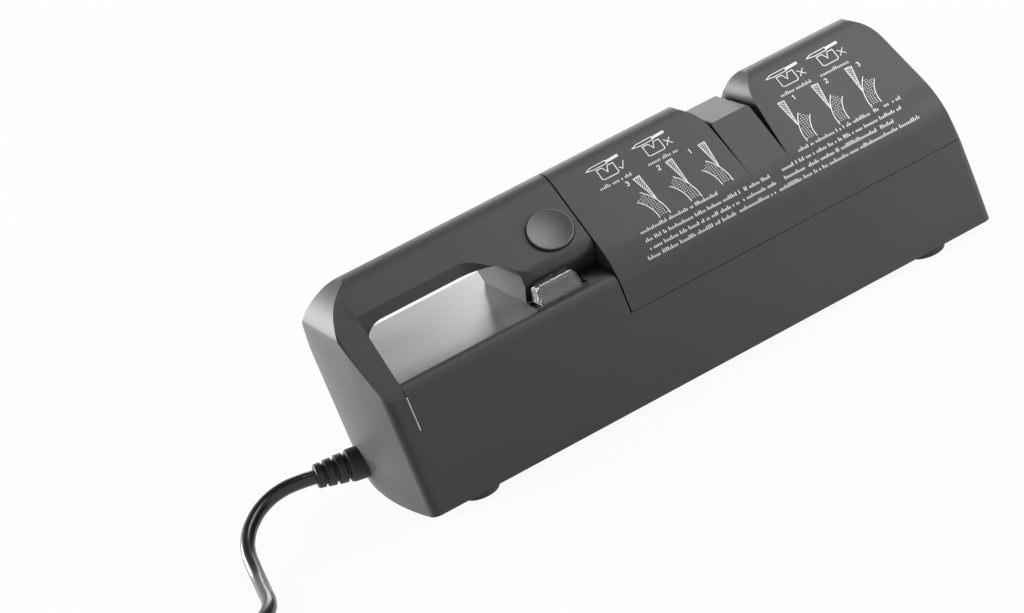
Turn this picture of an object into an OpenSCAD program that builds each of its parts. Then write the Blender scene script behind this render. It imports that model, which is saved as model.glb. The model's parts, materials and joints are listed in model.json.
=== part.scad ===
// Electric knife sharpener with an abrasive belt: a base housing with a motor, a lift-off head with two
// blade slots, a handle with a push button, and a mains cord.
// Frame: +X towards the head, +Z up, origin under the middle of the housing on the plane of the feet.

/* [Overall] */
// Length of the housing, over the bulge of its rear end
body_l = 310; // [304:1:330]
// Width of the housing
body_w = 98; // [94:1:110]
// Height from the table to the ridge
body_h = 110; // [107:1:118]
// Height of the rubber feet
foot_h = 4.4; // [3.5:0.1:8]
// Thickness of the moulded walls
wall = 2.6; // [2:0.1:3.2]

/* [Housing] */
// How far the rear end bulges out in plan
end_bulge = 5.2; // [3:0.2:8]
// Radius of the upright rear corners
rear_corner_r = 5; // [4:0.5:8]
// Radius of the upright front corners
front_corner_r = 4; // [3.5:0.5:6]
// Height of the joint line between base and head
parting_z = 47.3; // [44:0.1:50]
// How far the front end leans back from the bottom to the joint line
base_lean = 1.5; // [0.5:0.1:2.5]
// Place along the length of the seam between handle and head
seam_x = -28.5; // [-31:0.5:-26]
// Gap of the seam between handle and head
seam_gap = 0.8; // [0.5:0.1:1.2]
// Gap between the head and the base it stands on
rest_gap = 0.3; // [0.2:0.05:0.5]
// Height of the flat deck over the motor
deck_z = 67.3; // [66:0.1:69]
// Radius of the deck's long edges
deck_edge_r = 5.5; // [4:0.5:6]
// Length of the handle's rear foot along the body
rear_foot_l = 15; // [14:0.5:18]

/* [Head] */
// Slope of the two roof faces
roof_deg = 42.3; // [41:0.1:44]
// Radius of the ridge
ridge_r = 14.75; // [12:0.25:16]
// Radius between the roof and the side walls
shoulder_r = 27; // [22:0.5:30]
// Height of the floor of the blade slots
slot_floor_z = 76.2; // [75:0.1:77]
// Distance of the centre block's middle from the front end
block_in = 92.7; // [90:0.5:95]
// Length of the centre block
block_l = 20.6; // [18:0.2:23]
// Height of the centre block's flat top
block_z = 99.7; // [96:0.1:102]
// Lean of the left slot's outer wall
left_lean = 3.3; // [2:0.1:5]
// Lean of the right slot's outer wall
right_lean = 8.6; // [6:0.1:10]
// Lean of the front end above the joint line
nose_lean = 6.6; // [5:0.1:7.5]
// Radius of the blocks' top ends
block_r = 13; // [10:0.5:15]
// Edge radius on the centre block
block_edge_r = 1.2; // [0.8:0.1:2]

/* [Handle] */
// Half width of the grip
grip_half = 20.5; // [18:0.5:23]
// Height of the grip's underside
grip_under_z = 90.5; // [89:0.5:93]
// Length of the finger opening
opening_l = 74; // [70:1:76]
// Radius of the finger opening's corners
opening_r = 10; // [6:1:11]
// Radius of the handle's top rear corner
handle_rear_r = 28; // [20:1:32]
// Distance of the handle's front, under the button, from the side walls
front_in = 14; // [13.5:0.5:16]
// Distance of the front post from the side walls, where it meets the deck
post_in = 23; // [19:0.5:27]

/* [Push button] */
// Place of the button along the body
button_x = -42; // [-44:0.5:-41]
// Distance of the button's centre from the near side wall
button_in = 23.8; // [23:0.2:25]
// Radius of the button
button_r = 11.1; // [9:0.1:11.2]
// Gap round the button
button_gap = 0.4; // [0.3:0.05:0.5]
// Travel of the button
button_travel = 2.5; // [1.5:0.1:3]
// How far the button stands proud of the handle
button_proud = 1.6; // [1:0.1:2.5]

/* [Rocker switch] */
// Middle of the rocker switch along the body
rocker_x = -54; // [-57:0.5:-52]
// Distance of the rocker switch's middle from the near side wall
rocker_in = 9.2; // [8.5:0.1:10]
// Length of the switch flange
rocker_l = 28; // [26:0.5:30]
// Width of the switch flange
rocker_w = 10.8; // [10:0.1:11]
// Height of the clear cap over the rocker
cap_h = 9.6; // [9:0.1:12]
// Tilt of the rocker to either side
rocker_deg = 7; // [4:1:8]

/* [Belt drive] */
// Distance between the two upper wheels
wheel_span = 54; // [52:0.5:56]
// Height of the upper wheel axles
wheel_z = 61; // [60:0.1:61.5]
// Radius of the upper wheels over their tyres
wheel_r = 17.5; // [16:0.1:17.8]
// Width of the wheels and the drive roller
wheel_w = 25; // [23:0.5:25.5]
// Height of the drive roller's axis
roller_z = 27; // [26:0.1:28]
// Radius of the drive roller
roller_r = 13; // [12:0.1:14]
// Thickness of the abrasive belt
belt_t = 0.8; // [0.6:0.1:1]
// Width of the abrasive belt
belt_w = 24; // [22:0.5:25]
// Gap between a belt and its wheels
belt_gap = 0.25; // [0.2:0.05:0.4]
// Radius of the wheel axles
axle_r = 4; // [3:0.1:4.5]
// Radius of the driven pulley
driven_r = 17; // [15:0.5:18]
// Thickness of the steel parts
steel_t = 2; // [1.5:0.1:2.2]

/* [Motor] */
// Place of the motor shaft along the body
motor_x = -85; // [-88:0.5:-82]
// Gap between the stator and the bottom plate
motor_clear = 1.5; // [0.8:0.1:3]
// Width and height of the stator
stator_w = 50; // [46:0.5:51]
// Length of the stator stack
stack_l = 26; // [22:0.5:26]
// Radius of the armature
armature_r = 14.6; // [13:0.1:15]
// Radius of the motor shaft
shaft_r = 3; // [2.5:0.1:3.5]
// Radius of the motor pulley
pulley_r = 8; // [7:0.1:9]

/* [Cord] */
// Diameter of the mains cord
cord_d = 7; // [6:0.1:7.2]
// Height of the cord's exit above the table
cord_exit_z = 17.2; // [16:0.1:19]
// Distance of the cord's exit from the middle plane
cord_exit_y = 24.6; // [22:0.1:27]
// Length of the strain relief
relief_l = 24.4; // [24:0.1:26]
// Turn of the cord's outlet away from the middle plane
outlet_turn = 6; // [0:0.5:8]
// Upward tilt of the cord's outlet
outlet_tilt = 8; // [0:0.5:9]
// Loops in each of the coil's two layers
coil_loops = 3; // [2:1:3]

/* [Hidden] */
$fn = 48;

half_l = body_l / 2;
half_w = body_w / 2;
fit = 0.05;                                     // radial clearance of seats and running fits
overlap = 1;                                    // how far cutting shapes run past a face
bite = 0.004;                                   // how far an arc crosses the straight edge it runs into
deck_seam_z = deck_z - deck_edge_r;
rear_seam_x = -half_l + rear_foot_l;
plate_t = 2.5;
inside_z = foot_h + plate_t;                    // top of the bottom plate
bulge_r = (half_w * half_w + end_bulge * end_bulge) / (2 * end_bulge);
bulge_x = -half_l + bulge_r;
apex_z = body_h + ridge_r * (1 / cos(roof_deg) - 1);
section_top = body_h + 0.6;                     // side views end just over the ridge

foot_x = [-half_l + 33.1, half_l - 31.5];
foot_y = half_w - 12.2;
foot_r = 8.75;
screw_r = 1.6;

block_x = half_l - block_in;
front_half = half_w - front_in;
post_half = half_w - post_in;
button_y = half_w - button_in;
rocker_y = rocker_in - half_w;

left_x = block_x - wheel_span / 2;
right_x = block_x + wheel_span / 2;
pivot_x = right_x + 2.7;
pivot_z = roller_z + 1;
plate_y = wheel_w / 2 + 3.5;                    // near face of the mechanism plate
arm_y = wheel_w / 2 + 0.7;
arm_t = plate_y - arm_y - 0.4;
flange_z = inside_z + 6.1;                      // underside of the mechanism plate's foot
pulley_w = 9;
pulley_y = half_w - wall - pulley_w - 3.4;      // near face of the two pulleys
belt_port_gap = 1.5;                            // room beside the pulleys where the belt passes the bulkhead
motor_z = inside_z + motor_clear + stator_w / 2;
motor_y = pulley_y - stack_l / 2 - 21;          // middle of the stator stack

// ---- plane geometry -------------------------------------------------------------------------------

function unit(v) = v / norm(v);
function nose_x(z) = half_l - base_lean - (z - parting_z) * tan(nose_lean);
function left_wall(z) = block_x - block_l / 2 - (z - slot_floor_z) * tan(left_lean);
function right_wall(z) = block_x + block_l / 2 + (z - slot_floor_z) * tan(right_lean);

// Polygon with some of its convex corners rounded by true arcs
module rounded(points, radii) {
    n = len(points);
    difference() {
        polygon(points);
        for (i = [0:n - 1])
            if (radii[i] > 0)
                corner_waste(points[(i + n - 1) % n], points[i], points[(i + 1) % n], radii[i]);
    }
}

// What an arc of radius r takes off the corner p between its neighbours a and b
module corner_waste(a, p, b, r) {
    u = unit(a - p);
    v = unit(b - p);
    half = acos(u * v) / 2;
    centre = p + unit(u + v) * r / sin(half);
    reach = r / tan(half);
    difference() {
        polygon([centre, centre + 1.1 * (p + u * reach - centre), centre + 1.3 * (p - centre),
            centre + 1.1 * (p + v * reach - centre)]);
        translate(centre) circle(r = r + bite);
    }
}

// Extrudes a (y, z) section along X
module along_x(x0, x1) {
    translate([x0, 0, 0]) rotate([90, 0, 90]) linear_extrude(x1 - x0) children();
}

// Extrudes an (x, z) section along Y
module along_y(y0, y1) {
    translate([0, y1, 0]) rotate([90, 0, 0]) linear_extrude(y1 - y0) children();
}

// Extrudes a plan between two heights
module upright(z0, z1) {
    translate([0, 0, z0]) linear_extrude(z1 - z0) children();
}

// A disc or ring on an axis along Y
module disc_y(x, z, y0, y1, r, bore = 0) {
    along_y(y0, y1) translate([x, z]) difference() {
        circle(r = r);
        if (bore > 0) circle(r = bore);
    }
}

// Part of a ring between two angles under 180 degrees apart
module ring_part(r0, r1, a0, a1) {
    mid = (a0 + a1) / 2;
    far = 2 * r1 / cos((a1 - a0) / 4);
    intersection() {
        difference() {
            circle(r = r1);
            circle(r = r0);
        }
        polygon([[0, 0], far * [cos(a0), sin(a0)], far * [cos((a0 + mid) / 2), sin((a0 + mid) / 2)],
            far * [cos(mid), sin(mid)], far * [cos((a1 + mid) / 2), sin((a1 + mid) / 2)],
            far * [cos(a1), sin(a1)]]);
    }
}

// Outline of a belt round discs [x, z, r], taken in turn against the clock, at a distance out from them
module loop_outline(discs, out) {
    n = len(discs);
    points = [for (i = [0:n - 1])
        let (a = discs[i], b = discs[(i + 1) % n], d = [b[0] - a[0], b[1] - a[1]],
            angle = atan2(d[1], d[0]) - acos((a[2] - b[2]) / norm(d)), way = [cos(angle), sin(angle)])
        each [[a[0], a[1]] + (a[2] + out - bite) * way, [b[0], b[1]] + (b[2] + out - bite) * way]];
    polygon(points);
    for (d = discs) translate([d[0], d[1]]) circle(r = d[2] + out);
}

// Tube swept along points
module swept_tube(path, r, sides) {
    n = len(path);
    rings = [for (i = [0:n - 1])
        let (way = unit(path[min(i + 1, n - 1)] - path[max(i - 1, 0)]),
            side = unit(cross([0, 0, 1], way)), up = cross(way, side))
        for (k = [0:sides - 1])
            let (a = 360 * (k + 0.5) / sides) path[i] + r * (cos(a) * side + sin(a) * up)];
    polyhedron(points = rings, convexity = 10, faces = concat(
        [[for (k = [0:sides - 1]) k]],
        [for (i = [0:n - 2], k = [0:sides - 1])
            let (a = i * sides + k, b = i * sides + (k + 1) % sides)
            each [[a, a + sides, b + sides], [a, b + sides, b]]],
        [[for (k = [sides - 1:-1:0]) (n - 1) * sides + k]]));
}

// Coil spring from the origin up Z
module coil_spring(r, wire_r, turns, length) {
    steps = 10;
    rise = length - 2 * wire_r;
    path = [for (i = [0:turns * steps])
        [r * cos(360 * i / steps), r * sin(360 * i / steps), wire_r + rise * i / (turns * steps)]];
    swept_tube(path, wire_r, 6);
}

// ---- housing --------------------------------------------------------------------------------------

// Plan of the housing, set in from its walls: the rear end bulges and its corners are rounded
module footprint(inset = 0) {
    half = half_w - inset;
    rear_r = max(rear_corner_r - inset, 1);
    front_r = max(front_corner_r - inset, 1);
    rear_x = bulge_x - sqrt(pow(bulge_r - inset - rear_r, 2) - pow(half - rear_r, 2));
    tangent = unit([rear_x - bulge_x, half - rear_r]) * (bulge_r - inset) + [bulge_x, 0];
    difference() {
        intersection() {
            translate([-half_l - overlap, -half]) square([body_l + overlap - inset, 2 * half]);
            translate([bulge_x, 0]) circle(r = bulge_r - inset, $fn = 240);
        }
        for (flip = [0, 1]) mirror([0, flip]) {
            corner_waste([half_l - inset, 0], [half_l - inset, half], [0, half], front_r);
            translate([rear_x, half - rear_r]) difference() {
                polygon([[0, 0], [0, 2 * rear_r], [-2 * rear_r, 2 * rear_r],
                    2 * (tangent - [rear_x, half - rear_r])]);
                circle(r = rear_r);
            }
        }
    }
}

// Cross-section of the head: two roof faces with a round ridge and round shoulders
module roof_section(inset = 0) {
    half = half_w - inset;
    apex = apex_z - inset / cos(roof_deg);
    eave = apex - half * tan(roof_deg);
    low = parting_z - 3 * wall;
    rounded([[-half, low], [half, low], [half, eave], [0, apex], [-half, eave]],
        [0, 0, shoulder_r - inset, ridge_r - inset, shoulder_r - inset]);
}

module base_housing() color("#3d3d3f") {
    wall_side = [[-half_l - overlap, foot_h], [half_l, foot_h], [half_l - base_lean, parting_z],
        [seam_x, parting_z], [seam_x, deck_seam_z], [-half_l - overlap, deck_seam_z]];
    difference() {
        intersection() {
            upright(foot_h, deck_seam_z) footprint();
            along_y(-half_w, half_w) polygon(wall_side);
        }
        intersection() {
            upright(foot_h - overlap, deck_z) footprint(wall);
            along_y(-half_w, half_w) polygon([[-half_l, 0], [half_l - wall, 0],
                [half_l - base_lean - wall, parting_z], [half_l - base_lean - wall, deck_z],
                [-half_l, deck_z]]);
        }
        at_outlet() {
            cylinder(r = relief_neck_r + fit, h = 20, center = true);
            cylinder(r = relief_r + 0.2, h = 10);
        }
        translate([-half_l - overlap, -1.5, 20.6]) cube([10, 1, 3.6]);
        for (side = [-1, 1])
            translate([rear_seam_x - 0.25, side * half_w - 0.8, deck_seam_z - 17]) cube([0.5, 1.6, 18]);
    }
    difference() {
        along_x(seam_x - wall, seam_x) polygon([[-half_w + wall / 2, inside_z], [half_w - wall / 2, inside_z],
            [half_w - wall / 2, deck_seam_z], [-half_w + wall / 2, deck_seam_z]]);
        translate([seam_x - 2 * wall, pulley_y - belt_port_gap, inside_z - overlap])
            cube([3 * wall, pulley_w + 2 * belt_port_gap, motor_z + driven_r - 3 - inside_z]);
    }
    difference() {
        intersection() {
            at_outlet() translate([0, 0, -neck_l]) cylinder(r = boss_r, h = neck_l);
            upright(inside_z, deck_seam_z) footprint(wall / 4);
        }
        at_outlet() cylinder(r = relief_neck_r + fit, h = 20, center = true);
    }
    for (x = foot_x, side = [-1, 1]) difference() {
        union() {
            translate([x, side * foot_y, inside_z + fit]) cylinder(r = 4.5, h = 15);
            translate([x - 1, min(side * foot_y, side * (half_w - wall / 2)), inside_z + fit])
                cube([2, half_w - wall / 2 - foot_y, 15]);
        }
        translate([x, side * foot_y, 0]) cylinder(r = screw_r + fit, h = inside_z + 12);
    }
}

module bottom_plate() color("#333335") {
    difference() {
        upright(foot_h, inside_z) footprint(wall + 0.2 + base_lean / 4);
        for (x = foot_x, side = [-1, 1])
            translate([x, side * foot_y, 0]) cylinder(r = screw_r + fit, h = 20);
        for (i = [-4:4], side = [-1, 1])
            translate([motor_x + 6 * i - 1.2, side * 14 - 9, foot_h - overlap]) cube([2.4, 18, 2 * plate_t]);
        for (x = [left_x - 8, right_x + 8]) translate([x, plate_y + 8.5, 0])
            cylinder(r = screw_r + fit, h = 20);
    }
    for (x = [left_x - 8, right_x + 8]) translate([x, plate_y + 8.5, inside_z]) difference() {
        cylinder(r = 4.5, h = flange_z - inside_z);
        cylinder(r = screw_r + fit, h = 20);
    }
}

module rubber_feet() color("#151515") for (x = foot_x, side = [-1, 1])
    translate([x, side * foot_y, 0]) rotate_extrude()
        polygon([[screw_r + fit, foot_h / 2], [4.6, foot_h / 2], [4.6, 0], [foot_r - 0.8, 0],
            [foot_r, 0.8], [foot_r, foot_h], [screw_r + fit, foot_h]]);

module foot_screws() color("#b8b8ba") for (x = foot_x, side = [-1, 1])
    translate([x, side * foot_y, 0]) {
        difference() {
            translate([0, 0, foot_h / 2 - 1.6]) cylinder(r = 3.4, h = 1.6);
            for (turn = [0, 90]) rotate(turn) cube([4, 0.8, foot_h - 1.2], center = true);
        }
        translate([0, 0, foot_h / 2]) cylinder(r = screw_r, h = foot_h / 2 + plate_t + 10);
    }

module motor_cover() color("#4a4a4c") difference() {
    along_x(rear_seam_x, seam_x) rounded([[-half_w, deck_seam_z], [half_w, deck_seam_z],
        [half_w, deck_z], [-half_w, deck_z]], [0, 0, deck_edge_r - 0.01, deck_edge_r - 0.01]);
    along_x(rear_seam_x + wall, seam_x - wall) rounded([[-half_w + wall, deck_seam_z - overlap],
        [half_w - wall, deck_seam_z - overlap], [half_w - wall, deck_z - wall],
        [-half_w + wall, deck_z - wall]], [0, 0, deck_edge_r - wall, deck_edge_r - wall]);
    translate([rocker_x - switch_l / 2 - fit, rocker_y - switch_w / 2 - fit, deck_z - 5])
        cube([switch_l + 2 * fit, switch_w + 2 * fit, 10]);
    translate([button_x, 0, deck_z - 5]) cylinder(r = duct_r, h = 10);
}

module head_cover() color("#454547") {
    left_foot = [block_x - block_l / 2, slot_floor_z];
    right_foot = [block_x + block_l / 2, slot_floor_z];
    rear = seam_x + seam_gap;
    low = parting_z + rest_gap;
    inner_top = section_top - wall;
    inner_floor = slot_floor_z - wall;
    outside = [[rear, low], [nose_x(low), low], [nose_x(section_top), section_top],
        [right_wall(section_top), section_top], right_foot, [right_foot[0], block_z],
        [left_foot[0], block_z], left_foot, [left_wall(section_top), section_top], [rear, section_top]];
    inside = [[rear + wall, low - overlap], [nose_x(low - overlap) - wall, low - overlap],
        [nose_x(inner_top) - wall, inner_top], [right_wall(inner_top) + wall, inner_top],
        [right_wall(inner_floor) + wall, inner_floor], [right_foot[0] - wall, inner_floor],
        [right_foot[0] - wall, block_z - wall], [left_foot[0] + wall, block_z - wall],
        [left_foot[0] + wall, inner_floor], [left_wall(inner_floor) - wall, inner_floor],
        [left_wall(inner_top) - wall, inner_top], [rear + wall, inner_top]];
    difference() {
        intersection() {
            along_y(-half_w, half_w) rounded(outside, [0, 0, block_r, block_r, 0, block_edge_r,
                block_edge_r, 0, block_r, 0]);
            along_x(rear, half_l) roof_section();
            upright(low, body_h + 5) footprint();
        }
        intersection() {
            along_y(-half_w + wall, half_w - wall) rounded(inside, [0, 0, block_r - wall, block_r - wall,
                0, 0, 0, 0, 0, 0, block_r - wall, 0]);
            along_x(rear, half_l) roof_section(wall);
        }
        translate([left_foot[0] - 2 * wall, -wheel_w / 2 - 1, inner_floor - overlap])
            cube([block_l + 4 * wall, wheel_w + 2, window_h + overlap]);
    }
    for (side = [-1, 1]) {
        y0 = side > 0 ? half_w - wall - rim_gap - rim_t : -half_w + wall + rim_gap;
        for (x = [rear + 20, block_x - 5, half_l - 40]) {
            translate([x, y0, parting_z - 6]) cube([16, rim_t, 12]);
            translate([x, side > 0 ? y0 : y0 - rim_gap - fit, parting_z + 1])
                cube([16, rim_t + rim_gap + fit, 5]);
        }
    }
}
rim_gap = 0.35;
rim_t = 1.6;
window_h = 9;

// ---- handle ---------------------------------------------------------------------------------------

opening_x0 = rear_seam_x + 0.5;
opening_x1 = opening_x0 + opening_l;
flare_x0 = opening_x1 - 22;
flare_x1 = opening_x1 + 6;
handle_front = seam_x;

// Plan of the handle: the grip widens in a smooth curve to the front under the button
module grip_plan() {
    steps = 8;
    curve = [for (i = [0:steps]) [flare_x0 + (flare_x1 - flare_x0) * i / steps,
        grip_half + (front_half - grip_half) * (1 - cos(180 * i / steps)) / 2]];
    half = concat([[rear_seam_x - 5, grip_half]], curve, [[handle_front, front_half]]);
    polygon(concat([for (i = [len(half) - 1:-1:0]) half[i]], [for (p = half) [p[0], -p[1]]]));
}

module handle() color("#414143") {
    grip_eave = apex_z - grip_half * tan(roof_deg);
    front_eave = apex_z - front_half * tan(roof_deg);
    difference() {
        union() {
            intersection() {
                along_x(-half_l, rear_seam_x) rounded([[-half_w, deck_seam_z], [half_w, deck_seam_z],
                    [half_w, deck_seam_z + 2], [grip_half, grip_eave], [0, apex_z],
                    [-grip_half, grip_eave], [-half_w, deck_seam_z + 2]],
                    [0, 0, 10, 20, ridge_r, 20, 10]);
                upright(deck_seam_z, body_h + 5) footprint();
                handle_side();
            }
            intersection() {
                upright(deck_z, body_h + 5) grip_plan();
                along_x(rear_seam_x - 5, handle_front) rounded([[-post_half, deck_z], [post_half, deck_z],
                    [front_half, front_eave - 5], [front_half, front_eave], [0, apex_z],
                    [-front_half, front_eave], [-front_half, front_eave - 5]],
                    [0, 0, 4, 5, ridge_r, 5, 4]);
                handle_side();
            }
        }
        button_axis() {
            translate([0, 0, -well_depth]) cylinder(r = button_r + button_gap, h = well_depth + 10);
            translate([0, 0, -well_depth - 10]) cylinder(r = stem_r + button_gap, h = 15);
            translate([-micro_l / 2 - 1.3, -chamber_half, -chamber_depth])
                cube([micro_l + 1.6, 2 * chamber_half, chamber_depth - well_depth - 3]);
        }
        translate([button_x, 0, deck_z - overlap]) cylinder(r = duct_r, h = 12);
    }
}
well_depth = 9;
stem_r = 3;
chamber_half = 5;
button_z = apex_z - button_y * tan(roof_deg);
chamber_floor = 4.8;                            // height of the chamber's floor above the deck
chamber_depth = (button_z - deck_z - chamber_floor) / cos(roof_deg);
duct_r = 4;
micro_l = 19.8;                                 // body of the microswitch
micro_w = 6.4;
micro_h = 8.6;

// Side view of the handle, with the finger opening
module handle_side() {
    along_y(-half_w, half_w) difference() {
        rounded([[-half_l, deck_seam_z], [handle_front, deck_seam_z], [handle_front, section_top],
            [-half_l, section_top]], [0, 0, 0, handle_rear_r]);
        rounded([[opening_x0, deck_seam_z - overlap], [opening_x1, deck_seam_z - overlap],
            [opening_x1, grip_under_z], [opening_x0, grip_under_z]], [0, 0, opening_r, opening_r]);
    }
}

// Frame on the button's axis, +Z out of the near roof face
module button_axis() translate([button_x, -button_y, button_z]) rotate([roof_deg, 0, 0]) children();

module push_button() color("#3a3a3c") button_axis() {
    difference() {
        translate([0, 0, button_travel + 0.6 - well_depth])
            cylinder(r = button_r, h = well_depth - button_travel - 0.6 + button_proud);
        translate([0, 0, -well_depth]) cylinder(r = button_r - 2, h = well_depth - 1.5);
        translate([0, 0, button_proud + 58.9]) sphere(r = 60, $fn = 96);
    }
    translate([0, 0, -well_depth - 3.6]) cylinder(r = stem_r, h = well_depth + 3);
    translate([0, 0, -well_depth - 4.8]) cylinder(r = stem_r + 1.2, h = 1.3);
}

module button_spring() color("#c8c8ca") button_axis()
    translate([0, 0, -well_depth]) coil_spring(stem_r + 2.6, 0.45, 5, well_depth - 1.5);

module microswitch() color("#1d1d1f") button_axis() {
    top = -well_depth - 9.4;
    translate([-micro_l / 2, -micro_w / 2, top - micro_h]) cube([micro_l, micro_w, micro_h]);
    translate([-1.5, -1.5, top - 0.1]) cube([3, 3, 1.6]);
}

// ---- rocker switch --------------------------------------------------------------------------------

switch_l = 24;
switch_w = 9.2;
flange_t = 1;
rocker_pivot_z = deck_z - 2;
rocker_len = 19;
rocker_wid = 6.4;
pin_r = 1.2;

module rocker_frame() color("#222224") {
    difference() {
        union() {
            translate([rocker_x - rocker_l / 2, rocker_y - rocker_w / 2, deck_z])
                cube([rocker_l, rocker_w, flange_t]);
            translate([rocker_x - switch_l / 2, rocker_y - switch_w / 2, deck_z - 17])
                cube([switch_l, switch_w, 17 + overlap / 2]);
        }
        translate([rocker_x - rocker_len / 2 - 1, rocker_y - rocker_wid / 2 - 0.4, deck_z - 12])
            cube([rocker_len + 2, rocker_wid + 0.8, 20]);
        disc_y(rocker_x, rocker_pivot_z, rocker_y - switch_w, rocker_y + switch_w, pin_r + fit);
    }
    for (x = [-8, 0, 8]) translate([rocker_x + x - 0.4, rocker_y - 2.4, deck_z - 24])
        cube([0.8, 4.8, 7]);
}

module rocker() color("#8c1d18") translate([rocker_x, 0, rocker_pivot_z]) rotate([0, rocker_deg, 0]) {
    along_y(rocker_y - rocker_wid / 2, rocker_y + rocker_wid / 2) rounded([[-rocker_len / 2, 3.6],
        [-4, -4.5], [4, -4.5], [rocker_len / 2, 3.6], [rocker_len / 2, 5.2], [0, 3.6],
        [-rocker_len / 2, 5.2]], [0, 1.5, 1.5, 0, 0.8, 0, 0.8]);
    disc_y(0, 0, rocker_y - switch_w / 2 + 0.2, rocker_y + switch_w / 2 - 0.2, pin_r);
}

// Solid of the clear cap's dome: flat ends with round top corners, sides drawn in a little
module cap_dome(inset) {
    low = deck_z + flange_t - (inset > 0 ? overlap : 0);
    high = deck_z + flange_t + cap_h - inset;
    half = dome_w / 2 - inset;
    ends = dome_l / 2 - inset;
    intersection() {
        along_x(rocker_x - ends, rocker_x + ends) rounded([[rocker_y - half, low], [rocker_y + half, low],
            [rocker_y + half - 1, high], [rocker_y - half + 1, high]], [0, 0, 2.6 - inset, 2.6 - inset]);
        along_y(rocker_y - dome_w, rocker_y + dome_w) rounded([[rocker_x - ends, low],
            [rocker_x + ends, low], [rocker_x + ends - 1.5, high + 0.2],
            [rocker_x - ends + 1.5, high + 0.2]], [0, 0, 4 - inset, 4 - inset]);
    }
}

module switch_cap() color("#d8e0e4", 0.45) difference() {
    union() {
        translate([rocker_x - rocker_l / 2 + 0.4, rocker_y - rocker_w / 2 + 0.4, deck_z + flange_t])
            cube([rocker_l - 0.8, rocker_w - 0.8, cap_skin]);
        cap_dome(0);
    }
    cap_dome(cap_skin);
}
cap_skin = 0.9;
dome_l = 22.5;
dome_w = 9.4;

// ---- belt mechanism -------------------------------------------------------------------------------

module mechanism_plate() color("#b4b6b8") {
    x0 = left_x - plate_reach;
    x1 = right_x + plate_reach + 1;
    top = wheel_z + 11;
    difference() {
        along_y(plate_y, plate_y + steel_t) rounded([[x0, flange_z], [x1, flange_z], [x1, flange_z + 30],
            [x1 - 14, top], [x0 + 6, top], [x0, top - 8]], [0, 0, 6, 10, 5, 5]);
        for (hole = [[left_x, wheel_z, axle_r + fit], [block_x, roller_z, 9 + fit],
            [pivot_x, pivot_z, pin_seat_r + fit], [block_x, wheel_z - 8, 11], [left_x - 4, roller_z + 4, 7]])
            disc_y(hole[0], hole[1], plate_y - overlap, plate_y + steel_t + overlap, hole[2]);
    }
    difference() {
        translate([x0, plate_y + steel_t - 0.01, flange_z]) cube([x1 - x0, 13, steel_t]);
        for (x = [left_x - 8, right_x + 8]) translate([x, plate_y + 8.5, 0])
            cylinder(r = screw_r + fit, h = 40);
    }
    translate([spring_x0 - steel_t, spring_y - 5, pivot_z + 5])
        cube([steel_t, plate_y - spring_y + 5 + 0.01, 9]);
}
plate_reach = 17;                               // from an upper axle to the end of the plate
pin_seat_r = 3;
spring_y = 7;
spring_z = pivot_z + 9.5;
spring_x0 = block_x + roller_r + 3.5;
spring_x1 = pivot_x - 8;

module plate_screws() color("#c4c4c6") for (x = [left_x - 8, right_x + 8])
    translate([x, plate_y + 8.5, flange_z + steel_t]) {
        cylinder(r = 3.2, h = 2);
        translate([0, 0, -12]) cylinder(r = screw_r, h = 12.5);
    }

module bearing_housing() color("#a0a2a4") difference() {
    union() {
        disc_y(block_x, roller_z, plate_y + steel_t, pulley_y - 3, 10.9);
        disc_y(block_x, roller_z, plate_y, plate_y + steel_t + 1, 9);
        disc_y(block_x, roller_z, plate_y + steel_t, plate_y + steel_t + 1.5, 11.4);
    }
    disc_y(block_x, roller_z, plate_y - overlap, pulley_y, 8 + fit);
}

module drive_bearings() color("#d0d0d2") for (y = [plate_y, pulley_y - 8])
    disc_y(block_x, roller_z, y, y + 5, 8, axle_r + fit);

module drive_shaft() color("#c8c8cc") {
    disc_y(block_x, roller_z, -wheel_w / 2 - 2, pulley_y + pulley_w, axle_r);
    disc_y(block_x, roller_z, -wheel_w / 2 - 4, -wheel_w / 2 - 2, axle_r + 2.5);
}

// Knurled rubber roller, with its grooves along the shaft
module drive_roller() color("#26262a") along_y(-wheel_w / 2, wheel_w / 2)
    translate([block_x, roller_z]) difference() {
        circle(r = roller_r);
        circle(r = axle_r + fit);
        for (i = [0:17]) rotate(20 * i) translate([roller_r, 0]) circle(r = 0.6, $fn = 16);
    }

module driven_pulley() color("#1f1f21") difference() {
    union() {
        disc_y(block_x, roller_z, pulley_y, pulley_y + pulley_w, driven_r - belt_gap);
        for (y = [pulley_y, pulley_y + pulley_w - 1]) disc_y(block_x, roller_z, y, y + 1, driven_r + 2.2);
    }
    disc_y(block_x, roller_z, pulley_y - overlap, pulley_y + pulley_w + overlap, axle_r + fit);
    for (i = [0:4]) rotate_about_y(block_x, roller_z, 72 * i)
        disc_y(block_x + 10, roller_z, pulley_y - overlap, pulley_y + pulley_w + overlap, 3.2);
}

module rotate_about_y(x, z, angle) {
    translate([x, 0, z]) rotate([0, angle, 0]) translate([-x, 0, -z]) children();
}

// Spoked wheel that turns on its bearing
module spoked_wheel(x) {
    rim = wheel_r - tyre_t;
    difference() {
        disc_y(x, wheel_z, -wheel_w / 2, wheel_w / 2, rim, 8 + fit);
        for (i = [0:5]) rotate_about_y(x, wheel_z, 60 * i)
            disc_y(x + (rim + 8) / 2 + 0.2, wheel_z, -wheel_w / 2 - overlap, wheel_w / 2 + overlap, 1.9);
    }
}
tyre_t = 3;

module wheel_bearing(x) {
    for (y = [-wheel_w / 2 + 0.5, wheel_w / 2 - 7.5]) disc_y(x, wheel_z, y, y + 7, 8, axle_r + fit);
}

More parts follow.
